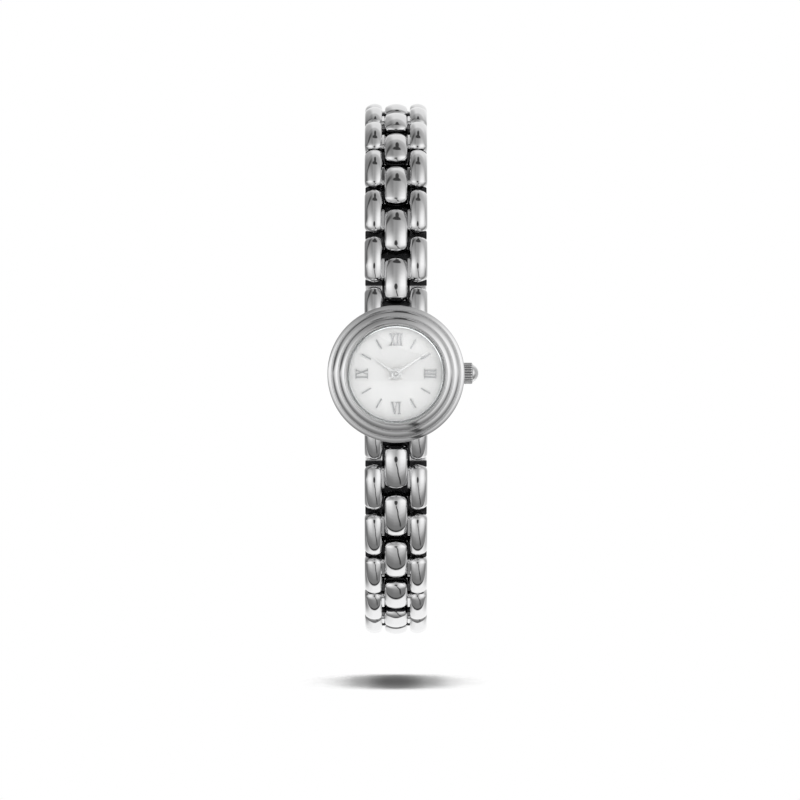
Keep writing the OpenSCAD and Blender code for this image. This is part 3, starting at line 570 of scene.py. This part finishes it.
def build_case_back(materials):
    """The back: a shallow dish with a turned edge, and the spigot that snaps into the case."""
    edge_at = BACK_R - BACK_EDGE
    profile = [(AXIS_R, BACK_DISH), (BACK_DISH_R, BACK_DISH), (BACK_RIM_R, 0), (edge_at, 0)]
    profile += arc((edge_at, BACK_EDGE), BACK_EDGE, -90, 0, EDGE_TURN_STEPS)[1:]
    profile += [(BACK_R, CASE_BACK), (SPIGOT_R, CASE_BACK), (SPIGOT_R, BACK_FRONT)]
    profile += [(SPIGOT_R - SPIGOT_T, BACK_FRONT), (SPIGOT_R - SPIGOT_T, CASE_BACK), (AXIS_R, CASE_BACK)]
    back = turned("case_back_disc", profile, materials["back_steel"])
    adopt(back, "case_back")


def crown_radius(x, turn):
    """Radius of the fluted part at a place along it, with rounded flutes and ends."""
    wave = 0.5 + 0.5 * cos(FLUTES * turn)
    land = CROWN_R * (1 - FLUTE_DEPTH * (1 - wave) ** FLUTE_POWER)
    return land - quarter(x, CROWN_NEAR_EDGE) - quarter(CROWN_L - x, CROWN_FAR_EDGE)


def build_crown(materials):
    """Fluted ring, then a step, then the polished dome."""
    turns = np.linspace(0, FULL_TURN, FLUTES * FLUTE_STEPS, endpoint=False)
    radii = [(0, [CROWN_BORE_R] * len(turns))]
    for x in eased(0, CROWN_L, CROWN_FAR_EDGE, CROWN_EDGE_STEPS, CROWN_FACE_STEPS):
        radii.append((x, [crown_radius(x, a) for a in turns]))
    dome_h = CROWN_HIGH - CROWN_LOW - CROWN_L
    dome_r = CROWN_R - DOME_INSET
    sphere = arc_r(dome_r, dome_h - DOME_FLANGE)
    radii.append((CROWN_L, [dome_r + DOME_FLANGE] * len(turns)))
    reach = np.arcsin(dome_r / sphere)
    if dome_h - DOME_FLANGE > dome_r:
        reach = pi - reach
    for turn in np.linspace(reach, DOME_TIP, DOME_STEPS):
        x = CROWN_L + dome_h - sphere + sphere * cos(turn)
        radii.append((x, [sphere * sin(turn)] * len(turns)))
    rings = [
        [(CROWN_LOW + x, -CROWN_DEPTH + r * cos(a), r * sin(a)) for r, a in zip(around, turns)]
        for x, around in radii
    ]
    solid = Solid()
    solid.add(rings)
    made = solid.make("crown_fluted")
    made.data.materials.append(materials["crown_steel"])
    adopt(made, "crown")


def build_cap(materials):
    """The small domed cap that closes the hands' arbor, and the rim round their hub."""
    seat = -span("minute_hand", 1)[0]
    low, top = seat - CAP_SINK, seat + CAP_H
    profile = [(AXIS_R, low), (CAP_R, low)]
    profile += [(CAP_R - inset, top - drop) for inset, drop in CAP_PROFILE]
    profile.append((AXIS_R, top))
    cap = turned("hands_cap", profile, materials["cap_steel"])
    near, far = seat - HUB_SINK, seat + HUB_RISE
    rim = [(HUB_R - HUB_T, near), (HUB_R, near), (HUB_R, far), (HUB_R - HUB_T, far)]
    hub = turned("hub_rim", rim, materials["cap_steel"])
    for piece in (cap, hub):
        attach(piece, BODY_OF["minute_hand"])


# Shader helpers

GRAIN_RANGE = (0.3, 0.7)
BEVEL_SAMPLES = 6


def new_material():
    material = bpy.data.materials.new("finish")
    material.use_nodes = True
    tree = material.node_tree
    tree.nodes.clear()
    out = tree.nodes.new("ShaderNodeOutputMaterial")
    shader = tree.nodes.new("ShaderNodeBsdfPrincipled")
    tree.links.new(shader.outputs["BSDF"], out.inputs["Surface"])
    return material, tree, shader


def put(tree, socket, value):
    """Sets a socket to a number or links it to another node's output."""
    if isinstance(value, (int, float)):
        socket.default_value = value
    else:
        tree.links.new(value, socket)


def math_node(tree, kind, first, second=None, clamp=False):
    made = tree.nodes.new("ShaderNodeMath")
    made.operation = kind
    made.use_clamp = clamp
    put(tree, made.inputs[0], first)
    if second is not None:
        put(tree, made.inputs[1], second)
    return made.outputs["Value"]


def times(tree, first, second):
    return math_node(tree, "MULTIPLY", first, second)


def minus(tree, first, second):
    return math_node(tree, "SUBTRACT", first, second)


def negative(tree, value):
    return times(tree, value, -1.0)


def size_of(tree, value):
    return math_node(tree, "ABSOLUTE", value)


def smooth_step(tree, value, low, high):
    """Goes from 0 at low to 1 at high with soft ends."""
    made = tree.nodes.new("ShaderNodeMapRange")
    made.interpolation_type = "SMOOTHSTEP"
    made.inputs["To Min"].default_value = 0.0
    made.inputs["To Max"].default_value = 1.0
    put(tree, made.inputs["From Min"], low)
    put(tree, made.inputs["From Max"], high)
    put(tree, made.inputs["Value"], value)
    return made.outputs["Result"]


def falling_step(tree, value, low, high):
    return minus(tree, 1.0, smooth_step(tree, value, low, high))


def mix_value(tree, fac, low, high):
    """low where fac is 0, high where it is 1."""
    made = tree.nodes.new("ShaderNodeMix")
    made.data_type = "FLOAT"
    for name, value in (("Factor", fac), ("A", low), ("B", high)):
        put(tree, made.inputs[name], value)
    return made.outputs["Result"]


def noise(tree, scale, detail, stretch=(1, 1, 1)):
    """Fine grain in the object's own metres, so the scale is in waves a metre."""
    where = tree.nodes.new("ShaderNodeTexCoord")
    turn = tree.nodes.new("ShaderNodeMapping")
    turn.inputs["Scale"].default_value = stretch
    tree.links.new(where.outputs["Object"], turn.inputs["Vector"])
    made = tree.nodes.new("ShaderNodeTexNoise")
    made.inputs["Scale"].default_value = scale
    made.inputs["Detail"].default_value = detail
    tree.links.new(turn.outputs["Vector"], made.inputs["Vector"])
    return made.outputs["Fac"]


def between(tree, fac, low, high):
    """Spreads the noise over a range of numbers."""
    made = tree.nodes.new("ShaderNodeMapRange")
    made.inputs["From Min"].default_value = GRAIN_RANGE[0]
    made.inputs["From Max"].default_value = GRAIN_RANGE[1]
    made.inputs["To Min"].default_value = low
    made.inputs["To Max"].default_value = high
    tree.links.new(fac, made.inputs["Value"])
    return made.outputs["Result"]


def shades(tree, fac, dark, light):
    """A colour from dark to light."""
    made = tree.nodes.new("ShaderNodeMix")
    made.data_type = "RGBA"
    made.inputs["A"].default_value = (*dark, 1)
    made.inputs["B"].default_value = (*light, 1)
    tree.links.new(fac, made.inputs["Factor"])
    return made.outputs["Result"]


def bump(tree, fac, height, normal=None):
    """Raises the grain by a height in millimetres."""
    made = tree.nodes.new("ShaderNodeBump")
    made.inputs["Strength"].default_value = 1.0
    made.inputs["Distance"].default_value = height * MM
    tree.links.new(fac, made.inputs["Height"])
    if normal is not None:
        tree.links.new(normal, made.inputs["Normal"])
    return made.outputs["Normal"]


def softened(tree, radius):
    """Edges that catch the light, for parts whose CAD edges are sharp."""
    made = tree.nodes.new("ShaderNodeBevel")
    made.samples = BEVEL_SAMPLES
    made.inputs["Radius"].default_value = radius * MM
    return made.outputs["Normal"]


def parts_of(tree, output):
    """X, Y and Z of the object's own normal or place."""
    parts = tree.nodes.new("ShaderNodeSeparateXYZ")
    tree.links.new(tree.nodes.new("ShaderNodeTexCoord").outputs[output], parts.inputs["Vector"])
    return [parts.outputs[axis] for axis in "XYZ"]


def show_mix(tree, fac, first, second, output):
    """Gives an output node one shader where fac is 0 and another where it is 1."""
    mix = tree.nodes.new("ShaderNodeMixShader")
    tree.links.new(fac, mix.inputs["Fac"])
    tree.links.new(first, mix.inputs[1])
    tree.links.new(second, mix.inputs[2])
    tree.links.new(mix.outputs["Shader"], output.inputs["Surface"])


def output_of(tree):
    return next(node for node in tree.nodes if node.type == "OUTPUT_MATERIAL")


# Materials

# Black of the painted shade on the bars' near ends and on the wall between the lugs
PAINTED_SHADE_BLACK = (0.03, 0.03, 0.032)
SATIN = (0.6, 0.6, 0.61)
GROOVE = (0.3, 0.3, 0.31)
BEVEL_TINT, FACE_TINT = (0.72, 0.74, 0.74), (0.985, 0.99, 0.99)
POLISHED = ((0.84, 0.84, 0.845), (0.88, 0.88, 0.885))

# Grain: waves a metre, and how much finer detail lies over them
STEEL_DETAIL, PLAIN_DETAIL = 4.0, 5.0
CLOUDS = (160, 2.0)
HAZE = (400, 2.0)

# Where one colour gives way to another, from and to
END_LEAN = 0.25
# The bars' near ends take painted shade over this range of their normal
END_PAINTED_SHADE = (0.972, 1.0)
SATIN_SIDE = (0.5, 0.8)
GROOVE_DARK = (0.0, 0.8)
LUG_WALL = 7.6
GLASS_FACE = (0.93, 0.99)
GLASS_ROUGH = (0.0, 0.012)
GLASS_IOR = 1.45
GLASS_SHADOW = 0.95


def steel(colours, rough, grain=900, stretch=(1, 1, 1), height=0.0004, edge=None):
    """Metal with cloudy colour, and fine grain in its roughness and height."""
    material, tree, shader = new_material()
    fine = noise(tree, grain, STEEL_DETAIL, stretch)
    cloudy = noise(tree, *CLOUDS)
    shader.inputs["Metallic"].default_value = 1.0
    tree.links.new(shades(tree, cloudy, *colours), shader.inputs["Base Color"])
    tree.links.new(between(tree, fine, *rough), shader.inputs["Roughness"])
    base = softened(tree, edge) if edge else None
    tree.links.new(bump(tree, fine, height, base), shader.inputs["Normal"])
    return material


def plain(colours, rough, grain=700, height=0.002, edge=None):
    """Lacquer, rubber or plastic with a fine tooth."""
    material, tree, shader = new_material()
    fine = noise(tree, grain, PLAIN_DETAIL)
    tree.links.new(shades(tree, fine, *colours), shader.inputs["Base Color"])
    tree.links.new(between(tree, fine, *rough), shader.inputs["Roughness"])
    base = softened(tree, edge) if edge else None
    tree.links.new(bump(tree, fine, height, base), shader.inputs["Normal"])
    return material


def glass():
    """Clear crystal that lets the light through to the dial, its bevel tinted a little grey."""
    material, tree, shader = new_material()
    haze = noise(tree, *HAZE)
    x, y, z = parts_of(tree, "Normal")
    faced = smooth_step(tree, size_of(tree, y), *GLASS_FACE)
    tree.links.new(shades(tree, faced, BEVEL_TINT, FACE_TINT), shader.inputs["Base Color"])
    shader.inputs["Transmission Weight"].default_value = 1.0
    shader.inputs["IOR"].default_value = GLASS_IOR
    tree.links.new(between(tree, haze, *GLASS_ROUGH), shader.inputs["Roughness"])
    clear = tree.nodes.new("ShaderNodeBsdfTransparent")
    clear.inputs["Color"].default_value = (GLASS_SHADOW, GLASS_SHADOW, GLASS_SHADOW, 1)
    path = tree.nodes.new("ShaderNodeLightPath").outputs
    lit = math_node(tree, "MAXIMUM", path["Is Shadow Ray"], path["Is Diffuse Ray"])
    show_mix(tree, lit, shader.outputs["BSDF"], clear.outputs["BSDF"], output_of(tree))
    return material


def blend_base(material, fac, colour):
    """Mixes another colour into a material's base where fac is 1."""
    tree = material.node_tree
    shader = next(node for node in tree.nodes if node.type == "BSDF_PRINCIPLED")
    polished = shader.inputs["Base Color"].links[0].from_socket
    mix = tree.nodes.new("ShaderNodeMix")
    mix.data_type = "RGBA"
    tree.links.new(fac, mix.inputs["Factor"])
    tree.links.new(polished, mix.inputs["A"])
    mix.inputs["B"].default_value = (*colour, 1)
    tree.links.new(mix.outputs["Result"], shader.inputs["Base Color"])
    return material


def painted_shade_ends(material):
    """Darkens the rolled near ends of the bars with painted shade, where they lie down in the gaps."""
    tree = material.node_tree
    x, y, z = parts_of(tree, "Normal")
    inward = minus(tree, times(tree, size_of(tree, x), END_LEAN), y)
    return blend_base(material, smooth_step(tree, inward, *END_PAINTED_SHADE), PAINTED_SHADE_BLACK)


def satin_toward_wrist(material):
    """On the side that lies on the wrist the painted shade gives way to bare satin steel."""
    tree = material.node_tree
    below = negative(tree, parts_of(tree, "Normal")[2])
    return blend_base(material, smooth_step(tree, below, *SATIN_SIDE), SATIN)


def painted_shade_between_lugs(material):
    """Painted shade on the wall between the lugs."""
    tree = material.node_tree
    x, y, z = parts_of(tree, "Object")
    inside = math_node(tree, "LESS_THAN", size_of(tree, x), (SIDE_X - HAIR) * MM)
    out = math_node(tree, "GREATER_THAN", size_of(tree, z), LUG_WALL * MM)
    return blend_base(material, times(tree, inside, out), PAINTED_SHADE_BLACK)


def dark_flutes(material):
    """The bottoms of the crown's flutes are darker than the lands."""
    tree = material.node_tree
    x, y, z = parts_of(tree, "Object")
    round_it = math_node(tree, "ARCTAN2", z, math_node(tree, "ADD", y, CROWN_DEPTH * MM))
    wave = math_node(tree, "COSINE", times(tree, round_it, FLUTES))
    fluted = math_node(tree, "LESS_THAN", x, (CROWN_LOW + CROWN_L) * MM)
    groove = smooth_step(tree, negative(tree, wave), *GROOVE_DARK)
    return blend_base(material, times(tree, groove, fluted), GROOVE)


def make_materials():
    """Every finish by its name: colours dark and light, then the range of roughness."""
    along, brushed, wound = (1, 0.12, 1), (1, 1, 0.05), (1, 0.05, 0.05)
    made = {
        # The bars' near ends are darkened with painted shade
        "link_steel": painted_shade_ends(steel(POLISHED, (0.05, 0.09), 1400, along)),
        "bezel_steel": steel(POLISHED, (0.09, 0.13), height=0.0001),
        # The wall between the lugs is darkened with painted shade
        "case_steel": painted_shade_between_lugs(steel(POLISHED, (0.07, 0.12), 1200)),
        "crown_steel": dark_flutes(steel(POLISHED, (0.2, 0.28), 1500, height=0.0001)),
        "back_steel": steel(((0.6, 0.6, 0.61), (0.7, 0.7, 0.7)), (0.22, 0.34), stretch=(1, 1, 0.03)),
        "polished_steel": steel(POLISHED, (0.08, 0.13), 1200, edge=0.08),
        # Dark steel as painted shade for the pieces down in the gaps, satin on the side toward the wrist
        "recess": satin_toward_wrist(steel(((0.035, 0.035, 0.037), (0.06, 0.06, 0.062)), (0.3, 0.45), 1600)),
        "cap_steel": steel(((0.62, 0.62, 0.62), (0.72, 0.72, 0.72)), (0.3, 0.42), 2200),
        "plain_steel": steel(((0.5, 0.5, 0.52), (0.6, 0.6, 0.62)), (0.2, 0.32), 1500, edge=0.04),
        "marker_silver": steel(((0.42, 0.42, 0.43), (0.55, 0.55, 0.56)), (0.25, 0.4), 2400, edge=0.03),
        "hand_silver": steel(((0.78, 0.78, 0.78), (0.86, 0.86, 0.86)), (0.3, 0.42), 2400, edge=0.03),
        "wheel_brass": steel(((0.6, 0.44, 0.19), (0.74, 0.57, 0.28)), (0.24, 0.36), 1800, edge=0.02),
        "magnet": steel(((0.1, 0.1, 0.11), (0.2, 0.2, 0.21)), (0.4, 0.6), 2000, edge=0.04),
        "soft_iron": steel(((0.36, 0.36, 0.38), (0.46, 0.46, 0.48)), (0.3, 0.45), 1300, edge=0.03),
        "coil_copper": steel(((0.5, 0.19, 0.09), (0.72, 0.34, 0.18)), (0.25, 0.4), 5200, wound, 0.01),
        "plate_nickel": steel(((0.55, 0.53, 0.48), (0.66, 0.65, 0.6)), (0.28, 0.42), 1100, brushed,
                              0.001, 0.04),
        "cell_steel": steel(((0.5, 0.5, 0.5), (0.62, 0.62, 0.62)), (0.25, 0.4), 1200, (1, 1, 0.06),
                            edge=0.1),
        "dial_white": plain(((0.88, 0.88, 0.875), (0.91, 0.91, 0.905)), (0.35, 0.45), 1800, 0.0006),
        "clear_gasket": plain(((0.5, 0.5, 0.5), (0.6, 0.6, 0.6)), (0.3, 0.5)),
        "black_rubber": plain(((0.012, 0.012, 0.012), (0.03, 0.03, 0.03)), (0.5, 0.7), edge=0.05),
        "ring_plastic": plain(((0.68, 0.68, 0.66), (0.78, 0.78, 0.75)), (0.4, 0.6), edge=0.05),
        "board_green": plain(((0.02, 0.1, 0.05), (0.04, 0.17, 0.08)), (0.3, 0.5), edge=0.04),
        "crystal_glass": glass(),
    }
    for name, material in made.items():
        material.name = name
    return made


def dress_cad(materials):
    """CAD nodes that are shown as they are take the finish of their slot."""
    for node, piece in frame["nodes"].items():
        finish = "hand_silver" if node in ("hour_hand", "minute_hand") else SLOTS[node]
        piece.data.materials.clear()
        piece.data.materials.append(materials[finish])


# Light tent: brightness by the angle in degrees above the dial's axis, 90 overhead, -90 below

RAMP_TOP = 2.0
PANELS = (
    (-180, 1.0), (-103, 1.0), (-99, 0.9), (-96, 0.03), (-92, 0.03), (-89, 0.21), (-75, 0.22),
    (-65, 0.26), (-57, 0.33), (-45, 0.5), (-32, 0.71), (-20, 0.86), (-6, 1.0), (5, 1.08), (20, 1.04),
    (32, 0.97), (44, 0.91), (56, 0.8), (68, 0.66), (82, 0.5), (95, 0.46), (108, 0.55), (120, 0.82),
    (180, 0.92),
)
GAP = (
    (-180, 1.0), (-103, 1.0), (-99, 0.9), (-96, 0.03), (-92, 0.03), (-89, 0.2), (-75, 0.215),
    (-65, 0.275), (-55, 0.35), (-45, 0.42), (-32, 0.5), (-20, 0.53), (0, 0.5), (20, 0.43), (32, 0.38),
    (44, 0.36), (70, 0.33), (82, 0.33), (95, 0.36), (108, 0.5), (120, 0.8), (180, 0.92),
)
GAP_WIDTH = (
    (-180, 0.05), (-90, 0.3), (-45, 0.55), (0, 0.6), (20, 0.63), (32, 0.69), (44, 0.83), (56, 0.9),
    (75, 0.8), (100, 0.9), (180, 1),
)
CABLE_ROUTE = ((-180, 0.4), (-110, 0.39), (-70, 0.34), (-32, 0.18), (-8, 0.02), (0, 0), (180, 0))

# Where the panels end at the sides and behind: from, to and what is left or taken there
BEHIND = (-0.2, 0.35)
LEFT_BEHIND, LEFT_GREY = (0.35, 0.8), 0.22
RIGHT_BEHIND, RIGHT_GREY = (0.4, 0.85), 0.5
LEFT_END, LEFT_DIMMER = (0.78, 1.0), 0.45
RIGHT_END, RIGHT_DIMMER = (0.8, 1.0), 0.4
LEFTWARD = (0.08, 0.35)
SLOPE = (0, 40)
UPPER_DIMMER, LOWER_DIMMER = 0.45, 0.1

# Dark things in front of the tent: angle and side of the middle, then half their reach in each
LENS_MARK = (0, 0, 9, 0.17)
FOOT_MARK = (77, 0.06, 6.5, 0.32)
STEM_MARK = (88, 0.08, 13, 0.13)
MARK_SOFT = 0.35
MARK_GREY = 0.05
CABLE_HALF = (0.035, 0.075)
CABLE_START, CABLE_END = (6, 14), (74, 88)
STAND_ANGLE, STAND_SIDE = 62, -0.05
STAND_UP, STAND_OUT = 30, 0.85
STAND_HALF = (0.1, 0.3)
STAND_LEFT, STAND_TOP = (0.15, 0.55), (70, 80)
STAND_SHARE = 0.9


def curve(tree, value, stops):
    """A number that changes with an angle in degrees, from -180 to 180."""
    ramp = tree.nodes.new("ShaderNodeValToRGB")
    ramp.color_ramp.interpolation = "EASE"
    elements = ramp.color_ramp.elements
    while len(elements) < len(stops):
        elements.new(0.5)
    for element, (angle, grey) in zip(elements, stops):
        element.position = (angle + 180) / 360
        element.color = (grey / RAMP_TOP, grey / RAMP_TOP, grey / RAMP_TOP, 1)
    share = math_node(tree, "DIVIDE", math_node(tree, "ADD", value, 180), 360)
    tree.links.new(share, ramp.inputs["Fac"])
    return times(tree, ramp.outputs["Color"], RAMP_TOP)


def share_of(tree, value, middle, half):
    """The square of how far a value lies from the middle, 1 at half its reach."""
    off = math_node(tree, "DIVIDE", minus(tree, value, middle), half)
    return times(tree, off, off)


def mark(tree, angle, side, at_angle, at_side, half_angle, half_side):
    """1 inside a small oval of directions, 0 outside it."""
    up = share_of(tree, angle, at_angle, half_angle)
    out = share_of(tree, side, at_side, half_side)
    far = math_node(tree, "ADD", up, out)
    return falling_step(tree, far, 1 - MARK_SOFT, 1 + MARK_SOFT)


def tent_grey(tree, angle, side, back):
    """White panels left and right with a grey gap between them, dimmer towards their ends."""
    left = negative(tree, side)
    width = curve(tree, angle, GAP_WIDTH)
    aside = smooth_step(tree, size_of(tree, side), 0.0, width)
    grey = mix_value(tree, aside, curve(tree, angle, GAP), curve(tree, angle, PANELS))
    leftward = smooth_step(tree, left, *LEFTWARD)
    upper = times(tree, leftward, smooth_step(tree, angle, *SLOPE))
    lower = times(tree, leftward, smooth_step(tree, negative(tree, angle), *SLOPE))
    dimmer = times(tree, smooth_step(tree, left, *LEFT_END), LEFT_DIMMER)
    for part, share in ((smooth_step(tree, side, *RIGHT_END), RIGHT_DIMMER), (upper, UPPER_DIMMER)):
        dimmer = math_node(tree, "ADD", dimmer, times(tree, part, share))
    dimmer = math_node(tree, "ADD", dimmer, times(tree, lower, LOWER_DIMMER), clamp=True)
    grey = times(tree, grey, minus(tree, 1.0, dimmer))
    behind = smooth_step(tree, back, *BEHIND)
    for toward, ends, shade in ((left, LEFT_BEHIND, LEFT_GREY), (side, RIGHT_BEHIND, RIGHT_GREY)):
        grey = mix_value(tree, times(tree, behind, smooth_step(tree, toward, *ends)), grey, shade)
    return grey


def cable_mark(tree, angle, side):
    """A thin cable that runs down and to the right from the lens."""
    down = negative(tree, angle)
    lean = minus(tree, side, curve(tree, angle, CABLE_ROUTE))
    reach = times(tree, smooth_step(tree, down, *CABLE_START), falling_step(tree, down, *CABLE_END))
    return times(tree, falling_step(tree, size_of(tree, lean), *CABLE_HALF), reach)


def stand_mark(tree, angle, side):
    """The bent arm of a lamp stand, above and to the left."""
    up = share_of(tree, angle, STAND_ANGLE, STAND_UP)
    out = share_of(tree, side, STAND_SIDE, STAND_OUT)
    far = math_node(tree, "SQRT", math_node(tree, "ADD", up, out))
    bend = falling_step(tree, size_of(tree, minus(tree, far, 1.0)), *STAND_HALF)
    left = smooth_step(tree, negative(tree, side), *STAND_LEFT)
    arm = times(tree, times(tree, bend, left), smooth_step(tree, angle, *STAND_TOP))
    return times(tree, arm, STAND_SHARE)


def build_world():
    """A light tent that metal and glass see, behind a white background for the camera."""
    world = bpy.data.worlds.new("tent")
    bpy.context.scene.world = world
    world.use_nodes = True
    tree = world.node_tree
    tree.nodes.clear()
    parts = tree.nodes.new("ShaderNodeSeparateXYZ")
    tree.links.new(tree.nodes.new("ShaderNodeTexCoord").outputs["Generated"], parts.inputs["Vector"])
    side, back, up = (parts.outputs[axis] for axis in "XYZ")
    turn = math_node(tree, "ARCTAN2", up, negative(tree, back))
    angle = times(tree, turn, 180 / pi)
    marks = stand_mark(tree, angle, side)
    for place in (LENS_MARK, FOOT_MARK, STEM_MARK):
        marks = math_node(tree, "MAXIMUM", marks, mark(tree, angle, side, *place))
    marks = math_node(tree, "MAXIMUM", marks, cable_mark(tree, angle, side))
    tent = tree.nodes.new("ShaderNodeBackground")
    tent.inputs["Strength"].default_value = 1.0
    light = mix_value(tree, marks, tent_grey(tree, angle, side, back), MARK_GREY)
    tree.links.new(light, tent.inputs["Color"])
    white = tree.nodes.new("ShaderNodeBackground")
    white.inputs["Color"].default_value = (1, 1, 1, 1)
    white.inputs["Strength"].default_value = 1.0
    seen = tree.nodes.new("ShaderNodeLightPath").outputs["Is Camera Ray"]
    out = tree.nodes.new("ShaderNodeOutputWorld")
    show_mix(tree, seen, tent.outputs["Background"], white.outputs["Background"], out)


# Floor, lamps and camera

FLOOR_DROP = 6.5
FLOOR_HALF = 900
FLOOR_PAPER = ((0.77, 0.77, 0.77), (0.79, 0.79, 0.79))
FLOOR_GRAIN = (12, 2.0)
FLOOR_SHADE_REACH = 11.5
FLOOR_SHADE_SAMPLES = 24
FLOOR_SHADE = 2.7
FLOOR_SHADE_FADE = 0.85
SUN_ENERGY, SUN_ANGLE = 2.9, 40
FRONT_ENERGY, FRONT_SIZE = 1.2, 0.5
FRONT_AT = (0.1, -0.6, 0.25)


def build_floor():
    """A white floor with a painted shadow near the watch, and clear to the camera where nothing shades it."""
    level = lowest.z / MM - FLOOR_DROP
    corners = [(-FLOOR_HALF, -FLOOR_HALF, level), (FLOOR_HALF, -FLOOR_HALF, level),
               (FLOOR_HALF, FLOOR_HALF, level), (-FLOOR_HALF, FLOOR_HALF, level)]
    floor = add_mesh("floor", corners, [(0, 1, 2, 3)])
    material, tree, shader = new_material()
    material.name = "floor_white"
    paper = shades(tree, noise(tree, *FLOOR_GRAIN), *FLOOR_PAPER)
    # Painted shadow: the floor's colour darkens by ambient occlusion where the watch is near
    under = tree.nodes.new("ShaderNodeAmbientOcclusion")
    under.samples = FLOOR_SHADE_SAMPLES
    under.inputs["Distance"].default_value = FLOOR_SHADE_REACH * MM
    shaded = tree.nodes.new("ShaderNodeVectorMath")
    shaded.operation = "SCALE"
    tree.links.new(paper, shaded.inputs[0])
    tree.links.new(math_node(tree, "POWER", under.outputs["AO"], FLOOR_SHADE), shaded.inputs["Scale"])
    tree.links.new(shaded.outputs["Vector"], shader.inputs["Base Color"])
    shader.inputs["Roughness"].default_value = 1.0
    shader.inputs["Specular IOR Level"].default_value = 0.0
    clear = tree.nodes.new("ShaderNodeBsdfTransparent")
    camera_ray = tree.nodes.new("ShaderNodeLightPath").outputs["Is Camera Ray"]
    unshaded = smooth_step(tree, under.outputs["AO"], FLOOR_SHADE_FADE, 1.0)
    show_mix(tree, times(tree, unshaded, camera_ray), shader.outputs["BSDF"], clear.outputs["BSDF"],
             output_of(tree))
    floor.data.materials.append(material)
    floor.visible_glossy = False


def build_lights():
    """A soft lamp overhead for the floor and its shadow, and a soft panel in front for the dial."""
    sun = bpy.data.lights.new("overhead", "SUN")
    sun.energy = SUN_ENERGY
    sun.angle = radians(SUN_ANGLE)
    overhead = bpy.data.objects.new("overhead", sun)
    front = bpy.data.lights.new("front", "AREA")
    front.energy = FRONT_ENERGY
    front.shape = "DISK"
    front.size = FRONT_SIZE
    panel = bpy.data.objects.new("front", front)
    panel.location = FRONT_AT
    panel.rotation_euler = (-panel.location).to_track_quat("-Z", "Y").to_euler()
    for lamp in (overhead, panel):
        lamp.visible_glossy = False
        bpy.context.collection.objects.link(lamp)


CAMERA_DISTANCE = 1.05
CAMERA_RISE = 1.4
CAMERA_LENS = 358.6
CAMERA_SENSOR = 36
CAMERA_NEAR, CAMERA_FAR = 0.01, 10
PICTURE = 800
HEAD_AT = (396, 373)


def build_camera():
    """Square on to the dial, a long lens from a little above."""
    data = bpy.data.cameras.new("camera")
    data.lens = CAMERA_LENS
    data.sensor_width = CAMERA_SENSOR
    data.clip_start = CAMERA_NEAR
    data.clip_end = CAMERA_FAR
    data.shift_x = (PICTURE / 2 - HEAD_AT[0]) / PICTURE
    data.shift_y = (HEAD_AT[1] - PICTURE / 2) / PICTURE
    camera = bpy.data.objects.new("camera", data)
    rise = radians(CAMERA_RISE)
    camera.location = (0, -CAMERA_DISTANCE * cos(rise), CAMERA_DISTANCE * sin(rise))
    camera.rotation_euler = (pi / 2 - rise, 0, 0)
    bpy.context.collection.objects.link(camera)
    bpy.context.scene.camera = camera


def main():
    materials = make_materials()
    dress_cad(materials)
    build_links(materials)
    build_case(materials)
    build_bezel(materials)
    build_crystal(materials)
    build_case_back(materials)
    build_crown(materials)
    build_cap(materials)
    build_world()
    build_floor()
    build_lights()
    build_camera()
    bpy.context.scene.view_settings.view_transform = "Standard"


main()
